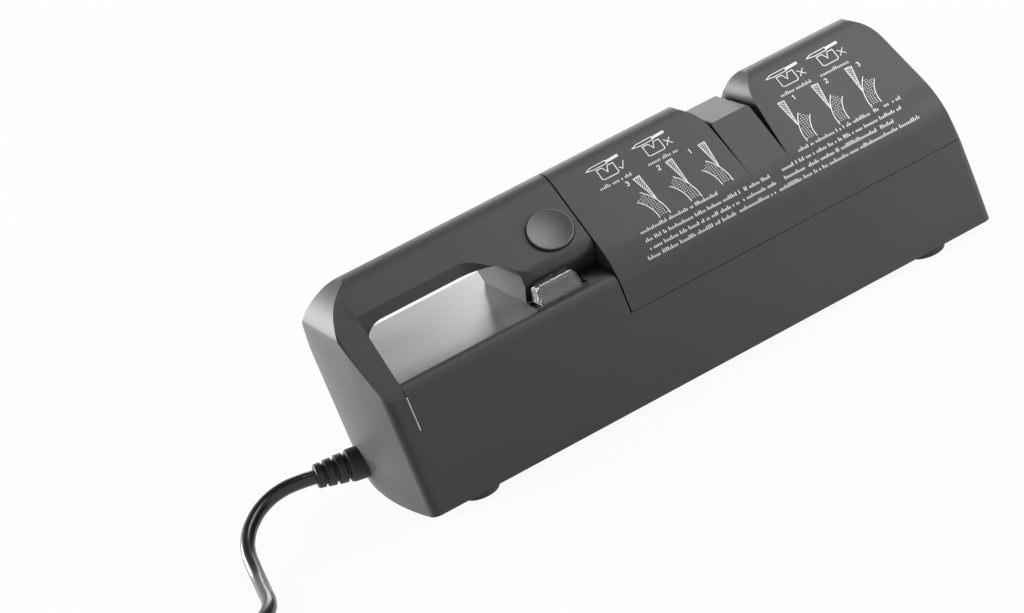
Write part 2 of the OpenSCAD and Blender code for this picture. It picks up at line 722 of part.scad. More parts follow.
module left_axle() color("#c8c8cc") {
    disc_y(left_x, wheel_z, -wheel_w / 2 - 1.5, plate_y + steel_t + 3, axle_r);
    disc_y(left_x, wheel_z, -wheel_w / 2 - 3, -wheel_w / 2 - 1, axle_r + 2.2);
    disc_y(left_x, wheel_z, wheel_w / 2 + 0.6, plate_y, axle_r + 2.2);
    disc_y(left_x, wheel_z, plate_y + steel_t, plate_y + steel_t + 3, axle_r + 2.6);
}

module left_wheel() color("#e4e2da") spoked_wheel(left_x);
module left_tyre() color("#202022") disc_y(left_x, wheel_z, -wheel_w / 2, wheel_w / 2, wheel_r,
    wheel_r - tyre_t + fit);
module left_bearing() color("#d0d0d2") wheel_bearing(left_x);

module arm_pivot_pin() color("#b0b0b4") {
    disc_y(pivot_x, pivot_z, arm_y - 0.6, plate_y + steel_t, pin_seat_r);
    disc_y(pivot_x, pivot_z, arm_y - 1.8, arm_y - 0.4, pin_seat_r + 2);
    disc_y(pivot_x, pivot_z, plate_y + steel_t, plate_y + steel_t + 2, pin_seat_r + 2);
}

module tension_arm() color("#a8aaac") {
    difference() {
        along_y(arm_y, arm_y + arm_t) loop_outline([[pivot_x, pivot_z, 7], [right_x, wheel_z, 8]], 0);
        disc_y(pivot_x, pivot_z, 0, half_w, pin_seat_r + fit);
        disc_y(right_x, wheel_z, 0, half_w, axle_r + fit);
    }
    translate([spring_x1, spring_y - 5, pivot_z + 5]) cube([steel_t, arm_y - spring_y + 5 + 0.5, 9]);
}

module right_axle() color("#c8c8cc") {
    disc_y(right_x, wheel_z, -wheel_w / 2 - 1.5, arm_y + arm_t, axle_r);
    disc_y(right_x, wheel_z, -wheel_w / 2 - 3, -wheel_w / 2 - 1, axle_r + 2.2);
}

module right_wheel() color("#e4e2da") spoked_wheel(right_x);
module right_tyre() color("#202022") disc_y(right_x, wheel_z, -wheel_w / 2, wheel_w / 2, wheel_r,
    wheel_r - tyre_t + fit);
module right_bearing() color("#d0d0d2") wheel_bearing(right_x);

module tension_spring() color("#c8c8ca") translate([spring_x0, spring_y, spring_z])
    rotate([0, 90, 0]) coil_spring(2.6, 0.5, 4, spring_x1 - spring_x0);

module abrasive_belt() color("#7a4a2c") along_y(-belt_w / 2, belt_w / 2) difference() {
    loop_outline(belt_discs(), belt_gap + belt_t);
    loop_outline(belt_discs(), belt_gap);
}
function belt_discs() = [[block_x, roller_z, roller_r], [right_x, wheel_z, wheel_r],
    [left_x, wheel_z, wheel_r]];

module drive_belt() color("#1a1a1a") along_y(pulley_y + 1.3, pulley_y + pulley_w - 1.3) difference() {
    loop_outline([[motor_x, motor_z, pulley_r], [block_x, roller_z, driven_r]], 1.6);
    loop_outline([[motor_x, motor_z, pulley_r], [block_x, roller_z, driven_r]], 0);
}

// ---- motor ----------------------------------------------------------------------------------------

air_gap = 0.6;
bracket_t = 3;
near_y = -stack_l / 2 - 14;                     // inner face of the near bracket, from the stack's middle
far_y = stack_l / 2 + 12;                       // inner face of the far bracket
bolt_at = stator_w / 2 - 4.5;
bolt_r = 2;
coil_r0 = armature_r + air_gap + 0.5;
coil_r1 = stator_w / 2 - 4;
bearing_r = 8;
bearing_w = 7;
boss_l = 4;                                     // how far a bearing stands out of its bracket

// Frame in the middle of the stator stack
module at_motor() translate([motor_x, motor_y, motor_z]) children();

module motor_stator() color("#8a8c90") at_motor() along_y(-stack_l / 2, stack_l / 2) difference() {
    square(stator_w, center = true);
    circle(r = armature_r + air_gap);
    for (turn = [0:90:270]) rotate(turn) {
        translate([bolt_at, bolt_at]) circle(r = bolt_r + fit);
        translate([stator_w / 2, stator_w / 2]) rotate(45) square(5, center = true);
    }
    for (a = [50, 130, 230, 310]) ring_part(armature_r, coil_r1 + 0.4, a - 18, a + 18);
}

// Two saddle-shaped windings whose end turns bridge the windows of the stack
module field_coils() color("#b0652f") at_motor() for (turn = [0, 180]) {
    for (a = [50, -50]) along_y(-stack_l / 2 - 5, stack_l / 2 + 5) rotate(turn)
        ring_part(coil_r0, coil_r1, a - 15, a + 15);
    for (y = [-stack_l / 2 - 4.8, stack_l / 2 + 0.5]) along_y(y, y + 4.3) rotate(turn)
        ring_part(coil_r0 + 0.4, coil_r1 - 0.4, -63, 63);
}

module motor_bracket(y0, boss_y) at_motor() {
    half = stator_w / 2 - 1;
    low = inside_z - motor_z;
    along_y(y0, y0 + bracket_t) difference() {
        rounded([[-half, low], [half, low], [half, half + 0.5], [-half, half + 0.5]], [0, 0, 5, 5]);
        circle(r = bearing_r + fit);
        for (sx = [-1, 1], sz = [-1, 1]) translate([sx * bolt_at, sz * bolt_at]) circle(r = bolt_r + fit);
        for (sx = [-1, 1]) translate([sx * (bolt_at - 5), 0]) circle(r = 4);
    }
    disc_y(0, 0, boss_y, boss_y + boss_l, bearing_r + 2.5, bearing_r + fit);
}

module motor_bracket_near() color("#9c9ea2") motor_bracket(near_y - bracket_t, near_y - bracket_t - boss_l);
module motor_bracket_far() color("#9c9ea2") motor_bracket(far_y, far_y + bracket_t);

module motor_bolts() color("#c0c0c4") at_motor() for (sx = [-1, 1], sz = [-1, 1]) {
    disc_y(sx * bolt_at, sz * bolt_at, near_y - bracket_t - 2.4, near_y - bracket_t, 1.7 * bolt_r);
    disc_y(sx * bolt_at, sz * bolt_at, near_y - bracket_t - 0.5, far_y + bracket_t + 2, bolt_r);
}

module motor_bearings() color("#d0d0d2") at_motor() for (y = [near_y - bracket_t - boss_l, far_y])
    disc_y(0, 0, y, y + bearing_w, bearing_r, shaft_r + fit);

module brush_holders() color("#c9a14a") at_motor() for (turn = [0, 180]) rotate([0, turn, 0]) difference() {
    translate([10, near_y, -4.6]) cube([13, 8, 9.2]);
    translate([9, near_y + 1.4, -3.3]) cube([15, 5.2, 6.6]);
}

module carbon_brushes() color("#2a2a2c") at_motor() for (turn = [0, 180]) rotate([0, turn, 0]) difference() {
    translate([6, near_y + 1.5, -3.2]) cube([14, 5, 6.4]);
    disc_y(0, 0, near_y, near_y + 10, commutator_r + 0.3);
}
commutator_r = 8;

module motor_shaft() color("#c8c8cc") at_motor()
    disc_y(0, 0, near_y - bracket_t - 6, pulley_y + pulley_w + 1 - motor_y, shaft_r);

module armature() color("#77797d") at_motor() along_y(-stack_l / 2, stack_l / 2) difference() {
    circle(r = armature_r);
    circle(r = shaft_r + fit);
    for (i = [0:11]) rotate(30 * i) translate([armature_r - 3.2, 0]) {
        circle(r = 1.8, $fn = 24);
        translate([0, -0.7]) square([4, 1.4]);
    }
}

module commutator() color("#b87333") at_motor() along_y(near_y + 0.8, -stack_l / 2 - 5.4) difference() {
    circle(r = commutator_r);
    circle(r = shaft_r + fit);
    for (i = [0:23]) rotate(15 * i) translate([commutator_r - 0.7, -0.2]) square([1, 0.4]);
}

module cooling_fan() color("#2f5f86") at_motor() {
    y0 = stack_l / 2 + 5.6;
    along_y(y0, y0 + 1.4) difference() {
        circle(r = 20);
        circle(r = shaft_r + fit);
    }
    along_y(y0, y0 + 5.4) difference() {
        circle(r = 6);
        circle(r = shaft_r + fit);
    }
    along_y(y0 + 1, y0 + 5.4) for (i = [0:8]) rotate(40 * i) translate([5.5, -0.6]) square([14, 1.2]);
}

module motor_pulley() color("#6e7074") difference() {
    union() {
        disc_y(motor_x, motor_z, pulley_y, pulley_y + pulley_w, pulley_r - belt_gap);
        for (y = [pulley_y, pulley_y + pulley_w - 1]) disc_y(motor_x, motor_z, y, y + 1, pulley_r + 2.2);
    }
    disc_y(motor_x, motor_z, pulley_y - overlap, pulley_y + pulley_w + overlap, shaft_r + fit);
}

module terminal_block() color("#e6e2d6") translate([-half_l + 12, 4, inside_z]) difference() {
    cube([20, 22, 5.5]);
    for (y = [5.5, 11, 16.5]) translate([-1, y - 0.4, 4]) cube([22, 0.8, 3]);
    for (y = [2.7, 8.2, 13.7, 19.2], x = [5, 15]) translate([x, y, 2]) cylinder(r = 1.5, h = 5);
}

// ---- cord -----------------------------------------------------------------------------------------

relief_r = 8;
relief_neck_r = 5;
relief_seat = 2.4;                              // depth of the relief's seat behind the bulge
neck_l = 3.4;                                   // length of the relief's neck in the wall and its boss
boss_r = 9.2;                                   // radius of the boss behind the relief's seat
outlet = [-half_l + relief_seat, cord_exit_y, cord_exit_z];
outlet_way = [-cos(outlet_tilt) * cos(outlet_turn), cos(outlet_tilt) * sin(outlet_turn), sin(outlet_tilt)];
cord_r = cord_d / 2;

// Frame on the outlet's axis, +Z out of the housing
module at_outlet() {
    translate(outlet) rotate([0, 0, -outlet_turn]) rotate([0, outlet_tilt - 90, 0]) children();
}

// Ribbed sleeve that keeps the cord from kinking where it leaves the housing
module strain_relief() color("#141414") at_outlet() {
    rotate_extrude() polygon([[0, -neck_l - 1.6], [relief_neck_r + 2, -neck_l - 1.6],
        [relief_neck_r + 2, -neck_l], [relief_neck_r, -neck_l], [relief_neck_r, 0], [relief_r, 0],
        [relief_r, 7], [relief_r - 0.5, 8.4], [6, 8.6], [6, 9.8], [7.2, 10], [7, 14], [5.4, 14.2],
        [5.4, 15.4], [6.7, 15.6], [6.4, 19.4], [5, 19.6], [5, 20.6], [6.1, 20.8], [5.8, relief_l - 0.6],
        [5.2, relief_l], [0, relief_l]]);
}

// Route of the free cord, from the outlet: on out of the relief, down to the table, round towards the near
// side and away from the housing
cord_route = [[-41, 4.1, 4.7], [-51.5, 2.5, 3], [-60.5, -2.4, -0.1], [-67, -9.6, -3.5], [-70.9, -17.8, -6.8],
    [-73, -27, -9.8], [-74.7, -36.4, -12.1], [-76.3, -45.8, -13], [-78, -55.2, -13], [-79.6, -64.4, -13],
    [-83.3, -74.5, -13], [-90.2, -82.8, -13], [-99.5, -88.2, -12.9], [-110.1, -90, -12.7],
    [-127, -90, -12.6], [-147, -90, -12.6], [-168, -90, -12.6], [-190, -90, -12.6]];
cord_exit = outlet + relief_l * outlet_way;
cord_path = concat([cord_exit, cord_exit + cord_d * outlet_way], [for (p = cord_route) outlet + p]);
cord_end = cord_path[len(cord_path) - 1];
coil_start = cord_end - [cord_d, 0, 0];

module power_cord() color("#101010") swept_tube(cord_path, cord_r, 10);

// The coil: its turns spiral in on the table, climb a layer in half a turn, and spiral out again. Both of
// its ends run straight for one diameter.
coil_mid_r = 40;
coil_pitch = cord_d + 0.6;
coil_rise = cord_d + 0.6;
coil_rings = 24;
coil_out_r = coil_mid_r + coil_pitch * coil_loops / 2;
coil_in_r = coil_mid_r - coil_pitch * coil_loops / 2;
coil_c = coil_start + [0, coil_out_r, 0];
climb_rings = coil_rings / 2;
layer_rings = coil_loops * coil_rings - climb_rings / 2;
function coil_r_at(i) = coil_out_r - coil_pitch * min(i, 2 * layer_rings + climb_rings - i) / coil_rings;
function coil_z_at(i) = let (t = min(max((i - layer_rings) / climb_rings, 0), 1))
    coil_rise * (1 - cos(180 * t)) / 2;
coil_turns = [for (i = [0:2 * layer_rings + climb_rings])
    let (a = -90 - 360 * i / coil_rings, r = coil_r_at(i))
        coil_c + [r * cos(a), r * sin(a), coil_z_at(i)]];
coil_end = coil_turns[len(coil_turns) - 1] - [cord_d, 0, 0];

module cord_coil() color("#101010") swept_tube(concat([cord_end], coil_turns, [coil_end]), cord_r, 6);

// Least distance between two turns, less the thickness of the cord
coil_gap = min([for (i = [0:3:len(coil_turns) - 1], j = [i + climb_rings:len(coil_turns) - 1])
    norm(coil_turns[i] - coil_turns[j])]) - cord_d;
echo(coil_self_gap = coil_gap);

// The cord's last stretch comes down from the coil to the plug that lies on the table
tail_route = [[-9, 0, 0], [-19, -0.4, -1.6], [-29, -0.8, -3.8], [-38, -0.8, -5.3], [-45, -0.8, -5.3]];
tail_path = concat([coil_end], [for (p = tail_route) coil_end + p]);
tail_end = tail_path[len(tail_path) - 1];

module cord_tail() color("#101010") swept_tube(tail_path, cord_r, 10);

// Flat strap round the bundle of turns
module cord_tie() color("#1c1c1c") {
    strap_t = 0.5;
    gap = 0.35;
    x0 = coil_in_r - coil_pitch / 4 - cord_r - gap;
    x1 = coil_out_r + cord_r + gap;
    top = coil_start[2] + coil_rise + cord_r + gap;
    translate([coil_c[0], coil_c[1], 0]) rotate(90) along_y(-5, 5) difference() {
        rounded([[x0 - strap_t, 0], [x1 + strap_t, 0], [x1 + strap_t, top + strap_t],
            [x0 - strap_t, top + strap_t]], [1, 1, 3, 3]);
        rounded([[x0, strap_t], [x1, strap_t], [x1, top], [x0, top]], [0.6, 0.6, 2.5, 2.5]);
    }
}

// Flat two-pin plug lying on the table, with its own short relief
plug_l = 35;
plug_w = 34;
plug_t = 13.6;
plug_relief_l = 18;
pin_l = 19;
pin_space = 19;
plug_pin_r = 2;

module plug_body() color("#121212") translate(tail_end) rotate(90) {
    rotate([-90, 0, 0]) rotate_extrude() polygon([[0, 0], [4.6, 0], [5, 1], [5.2, 4], [4.4, 4.2],
        [4.4, 5.6], [5.4, 5.8], [5.7, 9.4], [4.8, 9.6], [4.8, 11], [6, 11.2], [6.4, plug_relief_l],
        [0, plug_relief_l]]);
    translate([0, plug_relief_l - 0.01, -plug_t / 2]) linear_extrude(plug_t)
        rounded([[-8, 0], [8, 0], [plug_w / 2, 15], [plug_w / 2, plug_l], [-plug_w / 2, plug_l],
            [-plug_w / 2, 15]], [3, 3, 8, 3, 3, 8]);
}

module plug_pins() color("#c9c9cc") translate(tail_end) rotate(90) for (side = [-1, 1])
    translate([side * pin_space / 2, plug_relief_l + plug_l, 0]) rotate([-90, 0, 0]) {
        cylinder(r = plug_pin_r, h = pin_l - plug_pin_r);
        translate([0, 0, pin_l - plug_pin_r]) sphere(r = plug_pin_r);
    }

base_housing();
bottom_plate();
rubber_feet();
foot_screws();
motor_cover();
handle();
head_cover();
push_button();
button_spring();
microswitch();
rocker_frame();
rocker();
switch_cap();
mechanism_plate();
plate_screws();
bearing_housing();
drive_bearings();
drive_shaft();
drive_roller();
driven_pulley();
left_axle();
left_wheel();
left_tyre();
left_bearing();
arm_pivot_pin();
tension_arm();
right_axle();
right_wheel();
right_tyre();
right_bearing();
tension_spring();
abrasive_belt();
drive_belt();
motor_stator();
field_coils();
motor_bracket_near();
motor_bracket_far();
motor_bolts();
motor_bearings();
brush_holders();
carbon_brushes();
motor_shaft();
armature();
commutator();
cooling_fan();
motor_pulley();
terminal_block();
strain_relief();
power_cord();
cord_coil();
cord_tail();
cord_tie();
plug_body();
plug_pins();
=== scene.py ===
"""Looks of an electric knife sharpener: moulded shells, rubber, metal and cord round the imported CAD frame."""

import json
import math

import bmesh
import bpy
from bpy.props import FloatProperty, FloatVectorProperty, IntProperty, PointerProperty
from mathutils import Matrix, Vector

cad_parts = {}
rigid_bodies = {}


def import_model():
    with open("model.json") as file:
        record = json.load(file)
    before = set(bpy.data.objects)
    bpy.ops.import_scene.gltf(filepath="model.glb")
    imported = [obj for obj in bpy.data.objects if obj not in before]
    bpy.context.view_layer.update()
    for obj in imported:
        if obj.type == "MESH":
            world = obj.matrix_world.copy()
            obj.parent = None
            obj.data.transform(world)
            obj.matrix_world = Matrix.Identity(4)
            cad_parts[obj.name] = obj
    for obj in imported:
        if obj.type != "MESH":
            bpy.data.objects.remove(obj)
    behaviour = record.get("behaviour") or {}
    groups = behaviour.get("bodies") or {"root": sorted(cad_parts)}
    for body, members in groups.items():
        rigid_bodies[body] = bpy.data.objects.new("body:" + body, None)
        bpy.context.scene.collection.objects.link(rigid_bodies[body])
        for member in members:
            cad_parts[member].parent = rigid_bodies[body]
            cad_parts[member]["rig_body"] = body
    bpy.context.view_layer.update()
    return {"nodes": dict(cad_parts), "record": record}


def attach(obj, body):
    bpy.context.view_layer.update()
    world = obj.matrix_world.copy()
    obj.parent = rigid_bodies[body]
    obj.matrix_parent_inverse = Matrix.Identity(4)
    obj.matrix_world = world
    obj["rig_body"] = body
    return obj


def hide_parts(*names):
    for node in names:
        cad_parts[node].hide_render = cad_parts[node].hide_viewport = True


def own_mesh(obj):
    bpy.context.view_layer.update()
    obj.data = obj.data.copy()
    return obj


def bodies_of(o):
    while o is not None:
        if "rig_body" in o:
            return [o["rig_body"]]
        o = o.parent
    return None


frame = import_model()

bl_info = {
    "name": "Electric knife sharpener",
    "version": (1, 0, 0),
    "blender": (4, 5, 0),
    "location": "View3D > Sidebar > Sharpener",
    "description": "Shells, materials, cord and stage of an electric knife sharpener",
    "category": "Object",
}

MM = 0.001


def hex_colour(code):
    """Linear RGBA of an sRGB colour written as six hex digits."""
    parts = [int(code[i : i + 2], 16) / 255 for i in (0, 2, 4)]
    return tuple(c / 12.92 if c <= 0.04045 else ((c + 0.055) / 1.055) ** 2.4 for c in parts) + (1.0,)


# ---- sizes and colours that a user would change ------------------------------------------------


def length_setting(name, description, default):
    """A length in metres that the panel shows."""
    return FloatProperty(name=name, description=description, default=default, unit="LENGTH")


def colour_setting(name, description, code):
    """A colour that the panel shows, given as six hex digits."""
    return FloatVectorProperty(
        name=name, description=description, size=4, subtype="COLOR", default=hex_colour(code)
    )


class SharpenerSizes(bpy.types.PropertyGroup):
    cord_diameter: length_setting("Cord diameter", "Thickness of the mains cord", 7 * MM)
    cord_length: length_setting("Cord length", "Length of the cord from its sleeve to its plug", 1.80)
    shell_edge: length_setting("Shell edge", "Radius on the edges of the moulded shells", 0.7 * MM)
    small_edge: length_setting("Small edge", "Radius on the edges of small moulded parts", 0.3 * MM)
    edge_segments: IntProperty(name="Edge segments", description="Facets across each edge radius", default=3)
    stroke: length_setting("Stroke", "Width of the printed lines", 0.42 * MM)
    floor_size: length_setting("Floor size", "Side of the studio floor", 12.0)


class SharpenerColours(bpy.types.PropertyGroup):
    housing: colour_setting("Housing", "Dark grey of the shells", "3f3f41")
    # lighter than the housing though it is the same ABS: a painted sheen on the cover's level top
    deck_grey_with_painted_sheen: colour_setting("Deck", "Grey of the cover over the motor", "5a5a5c")
    button: colour_setting("Button", "Grey of the push button", "3a3a3c")
    rocker: colour_setting("Rocker", "Very dark red of the rocker", "2c1a18")
    ink: colour_setting("Ink", "White of the print", "dededc")
    rubber: colour_setting("Rubber", "Black of feet, sleeve and tyres", "161617")
    cord: colour_setting("Cord", "Black of the cord and plug", "131314")
    floor: colour_setting("Floor", "Pale grey of the floor", "c4c4c3")


# ---- material making ----------------------------------------------------------------------------

# A wave texture repeats every unit of its coordinates at this scale
WAVE_SCALE = math.tau / 20


def add_node(tree, kind, settings=None, values=None, links=None):
    """Adds one node, sets its properties and socket values, and links sockets of other nodes into it."""
    made = tree.nodes.new(kind)
    for name, value in (settings or {}).items():
        setattr(made, name, value)
    for socket, value in (values or {}).items():
        made.inputs[socket].default_value = value
    for socket, source in (links or {}).items():
        tree.links.new(source, made.inputs[socket])
    return made


def sums(tree, operation, first, second):
    """The result of a sum on two terms, each of them a number or a socket."""
    made = add_node(tree, "ShaderNodeMath", settings={"operation": operation})
    for socket, term in zip(made.inputs, (first, second)):
        if isinstance(term, bpy.types.NodeSocket):
            tree.links.new(term, socket)
        else:
            socket.default_value = term
    return made.outputs[0]


def new_material(name):
    """An empty node material and its tree."""
    material = bpy.data.materials.new(name)
    material.use_nodes = True
    material.node_tree.nodes.clear()
    return material, material.node_tree


def object_pattern(tree, size_mm):
    """Object coordinates in which one unit is size_mm long. size_mm is a number or (x, y, z)."""
    sizes = size_mm if isinstance(size_mm, tuple) else (size_mm,) * 3
    place = add_node(tree, "ShaderNodeTexCoord")
    return add_node(
        tree, "ShaderNodeMapping", values={"Scale": [1 / (s * MM) for s in sizes]},
        links={"Vector": place.outputs["Object"]},
    ).outputs["Vector"]


def texture(tree, kind, size_mm, values=None, settings=None):
    """A texture of features about size_mm long, in Object coordinates."""
    return add_node(
        tree, kind, settings=settings, values={"Scale": 1.0, **(values or {})},
        links={"Vector": object_pattern(tree, size_mm)},
    ).outputs


def noise(tree, size_mm, detail, roughness=0.5):
    """The 0 to 1 factor of a noise texture."""
    return texture(tree, "ShaderNodeTexNoise", size_mm, {"Detail": detail, "Roughness": roughness})["Fac"]


def gloss(tree, factor, low, high):
    """A roughness that goes from low to high with a 0 to 1 factor."""
    return add_node(
        tree, "ShaderNodeMapRange", values={"To Min": low, "To Max": high}, links={"Value": factor}
    ).outputs["Result"]


def relief(tree, height, strength, depth_mm, settings=None):
    """A bumped normal from a 0 to 1 height that stands depth_mm high."""
    return add_node(
        tree, "ShaderNodeBump", settings=settings, values={"Strength": strength, "Distance": depth_mm * MM},
        links={"Height": height},
    ).outputs["Normal"]


def tint(tree, colour, factor, spread):
    """A colour that a 0 to 1 factor makes darker or lighter by spread."""
    ramp = add_node(tree, "ShaderNodeValToRGB", links={"Fac": factor})
    for element, share in zip(ramp.color_ramp.elements, (1 - spread, 1 + spread)):
        element.color = tuple(min(c * share, 1.0) for c in colour[:3]) + (1.0,)
    return ramp.outputs["Color"]


def close_material(material, tree, values, links):
    """Ends a material in one Principled shader with these uniform values and these linked sockets."""
    shader = add_node(tree, "ShaderNodeBsdfPrincipled", values=values, links=links)
    add_node(tree, "ShaderNodeOutputMaterial", links={"Surface": shader.outputs["BSDF"]})
    return material


def moulded_plastic(name, colour, roughness, grain_depth=0.012, ior=1.53, coat=0.0, level=0.5):
    """Injection-moulded plastic: a spark-eroded tool leaves a fine even grain, and handling evens the gloss
    in patches a few centimetres wide. The grain is drawn at about twice its real 0.4 mm so that it shows."""
    material, tree = new_material(name)
    grain = noise(tree, 0.9, 3.0, 0.6)
    patches = noise(tree, 42, 2.0)
    return close_material(
        material, tree, {"IOR": ior, "Specular IOR Level": level, "Coat Weight": coat, "Coat Roughness": 0.2},
        {
            "Base Color": tint(tree, colour, patches, 0.05),
            "Roughness": gloss(tree, patches, roughness - 0.05, roughness + 0.05),
            "Normal": relief(tree, grain, 0.5, grain_depth),
        },
    )


def worked_metal(name, colour, roughness, lay_mm, depth=0.004):
    """Machined or drawn metal: fine lines across the shortest of lay_mm, which break up the sheen."""
    material, tree = new_material(name)
    lines = noise(tree, lay_mm, 4.0, 0.65)
    return close_material(
        material, tree, {"Metallic": 1.0},
        {
            "Base Color": tint(tree, colour, lines, 0.07),
            "Roughness": gloss(tree, lines, roughness - 0.08, roughness + 0.1),
            "Normal": relief(tree, lines, 0.4, depth),
        },
    )


def ribbed_material(name, colour, roughness, metallic, pitch_mm, direction, depth):
    """Stacked sheets or wound wire: even ridges pitch_mm apart along one axis."""
    material, tree = new_material(name)
    ridges = texture(
        tree, "ShaderNodeTexWave", pitch_mm, {"Scale": WAVE_SCALE, "Distortion": 0.4, "Detail": 1.0},
        {"wave_type": "BANDS", "bands_direction": direction, "wave_profile": "SIN"},
    )["Fac"]
    return close_material(
        material, tree, {"Metallic": metallic, "Roughness": roughness},
        {"Base Color": tint(tree, colour, ridges, 0.25), "Normal": relief(tree, ridges, 0.7, depth)},
    )


def soft_rubber(name, colour):
    """Moulded rubber: matt, with a chalky bloom in patches about a centimetre wide and a fine pebble."""
    material, tree = new_material(name)
    bloom = noise(tree, 11, 3.0)
    pebble = texture(tree, "ShaderNodeTexVoronoi", 0.8)["Distance"]
    return close_material(
        material, tree, {"IOR": 1.52, "Roughness": 0.55},
        {"Base Color": tint(tree, colour, bloom, 0.25), "Normal": relief(tree, pebble, 0.4, 0.02)},
    )


def cord_pvc(name, colour):
    """Extruded PVC sheath: smooth and glossy, with a very slight orange-peel about a centimetre long."""
    material, tree = new_material(name)
    peel = noise(tree, 9, 2.0)
    return close_material(
        material, tree, {"IOR": 1.53},
        {
            "Base Color": tint(tree, colour, peel, 0.12),
            "Roughness": gloss(tree, peel, 0.2, 0.28),
            "Normal": relief(tree, peel, 0.08, 0.02),
        },
    )


def clear_cap(name):
    """Soft clear PVC, dipped thick: its skin is gently uneven over about half a centimetre."""
    material, tree = new_material(name)
    ripple = noise(tree, 5, 1.0)
    return close_material(
        material, tree,
        {
            "Base Color": hex_colour("f4f6f6"), "Transmission Weight": 1.0, "Roughness": 0.04, "IOR": 1.5,
            "Coat Weight": 0.6, "Coat Roughness": 0.03,
        },
        {"Normal": relief(tree, ripple, 0.5, 0.12)},
    )


def screen_print(name, colour):
    """Screen-printed ink: flat and slightly chalky, thinner in places a millimetre or so wide."""
    material, tree = new_material(name)
    cover = noise(tree, 1.4, 3.0)
    return close_material(
        material, tree, {"Roughness": 0.6, "IOR": 1.5}, {"Base Color": tint(tree, colour, cover, 0.14)}
    )


def abrasive_cloth(name, colour):
    """Coated abrasive: sharp grains about 0.6 mm apart, brown with darker glue between them."""
    material, tree = new_material(name)
    grit = texture(tree, "ShaderNodeTexVoronoi", 0.6)["Distance"]
    return close_material(
        material, tree, {"Roughness": 0.85},
        {
            "Base Color": tint(tree, colour, grit, 0.35),
            "Normal": relief(tree, grit, 0.9, 0.12, {"invert": True}),
        },
    )


def woven_strap(name, colour):
    """Nylon webbing: a plain weave with threads 0.7 mm apart."""
    material, tree = new_material(name)
    threads = texture(
        tree, "ShaderNodeTexChecker", 0.7, {"Color1": (0.2, 0.2, 0.2, 1), "Color2": (0.9, 0.9, 0.9, 1)}
    )["Fac"]
    return close_material(
        material, tree, {"Roughness": 0.7, "Sheen Weight": 0.2},
        {"Base Color": tint(tree, colour, threads, 0.3), "Normal": relief(tree, threads, 0.6, 0.1)},
    )


def make_materials(colours):
    """Every finish of the sharpener, keyed by material slot, and a few more by their own name."""
    return {
        # ABS from a spark-eroded tool: satin, with a broad soft highlight
        "housing_plastic": moulded_plastic("Moulded ABS, fine grain", colours.housing, 0.46, level=0.22),
        # the same ABS from a polished part of the tool: it mirrors the room at a low angle, and its grey,
        # lighter than the housing's, is a painted sheen
        "deck_plastic": moulded_plastic(
            "Moulded ABS, polished, painted sheen", colours.deck_grey_with_painted_sheen, 0.36, grain_depth=0.003, ior=1.56, coat=0.3
        ),
        # ABS from a finer tool than the shells', and rubbed smooth by thumbs
        "button_plastic": moulded_plastic("Moulded ABS, button", colours.button, 0.38, grain_depth=0.006),
        "black_rubber": soft_rubber("Moulded rubber", colours.rubber),
        # galvanised sheet: grey, brushed along the plate
        "zinc_steel": worked_metal("Zinc-plated steel", hex_colour("b9bcc0"), 0.38, (6.0, 0.5, 0.5)),
        # ground and drawn bar: bright, with lines round it
        "bright_steel": worked_metal("Ground steel", hex_colour("cfd1d4"), 0.22, (0.4, 4.0, 0.4)),
        # pressure die casting: slightly pitted and dull
        "cast_aluminium": worked_metal(
            "Die-cast aluminium", hex_colour("a9abad"), 0.5, (1.2, 1.2, 1.2), depth=0.03
        ),
        # a stack of 0.5 mm sheets, drawn at 1 mm so that it shows
        "lamination_steel": ribbed_material(
            "Laminated steel", hex_colour("83868a"), 0.45, metallic=0.9, pitch_mm=1.0, direction="Y",
            depth=0.08,
        ),
        # enamelled wire about 0.8 mm thick, wound along the stack
        "copper": ribbed_material(
            "Enamelled copper wire", hex_colour("b4622f"), 0.3, metallic=0.85, pitch_mm=0.8, direction="Z",
            depth=0.15,
        ),
        # pressed powder: dull and slightly rough
        "carbon": moulded_plastic("Pressed carbon", hex_colour("2a2a2c"), 0.6, grain_depth=0.02),
        "black_plastic": moulded_plastic(
            "Moulded nylon, black", hex_colour("1d1d1f"), 0.42, grain_depth=0.006
        ),
        # polished tool: glossy, as switch makers sell it
        "red_plastic": moulded_plastic("Moulded polycarbonate, red", colours.rocker, 0.25, grain_depth=0.002),
        "clear_plastic": clear_cap("Clear soft PVC"),
        "white_plastic": moulded_plastic(
            "Moulded acetal, natural", hex_colour("dedbd2"), 0.35, grain_depth=0.004
        ),
        "fan_plastic": moulded_plastic(
            "Moulded polypropylene, blue", hex_colour("2f5f86"), 0.35, grain_depth=0.004
        ),
        "abrasive_cloth": abrasive_cloth("Coated abrasive cloth", hex_colour("74462b")),
        "nylon_strap": woven_strap("Woven nylon", hex_colour("1c1c1d")),
        "cord_pvc": cord_pvc("Extruded PVC", colours.cord),
        "print_ink": screen_print("Screen-printed ink", colours.ink),
    }


MATERIALS = {}


def finishes(context):
    """The materials, made on first use from the scene's colours."""
    if not MATERIALS:
        MATERIALS.update(make_materials(context.scene.sharpener_colours))
    return MATERIALS


# ---- mesh making --------------------------------------------------------------------------------

# Corners of a CAD mesh that are nearer than this are one corner, and faces that lean by less are one face
WELD = 0.0005 * MM
FLAT_WITHIN = math.radians(0.5)
# Edges sharper than this are rounded
SHARP_FROM = math.radians(30)
# How much larger faces keep their own normal beside a rounded edge
FACE_WEIGHT = 50


def link_piece(name, mesh, material, body):
    """Puts a finished mesh in the scene, with its material and the body it moves with."""
    piece = bpy.data.objects.new(name, mesh)
    bpy.context.scene.collection.objects.link(piece)
    mesh.materials.clear()
    mesh.materials.append(material)
    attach(piece, body)
    return piece


def evaluated_mesh(piece):
    """The plain mesh that an object's modifiers make."""
    shown = piece.evaluated_get(bpy.context.evaluated_depsgraph_get())
    return bpy.data.meshes.new_from_object(shown)


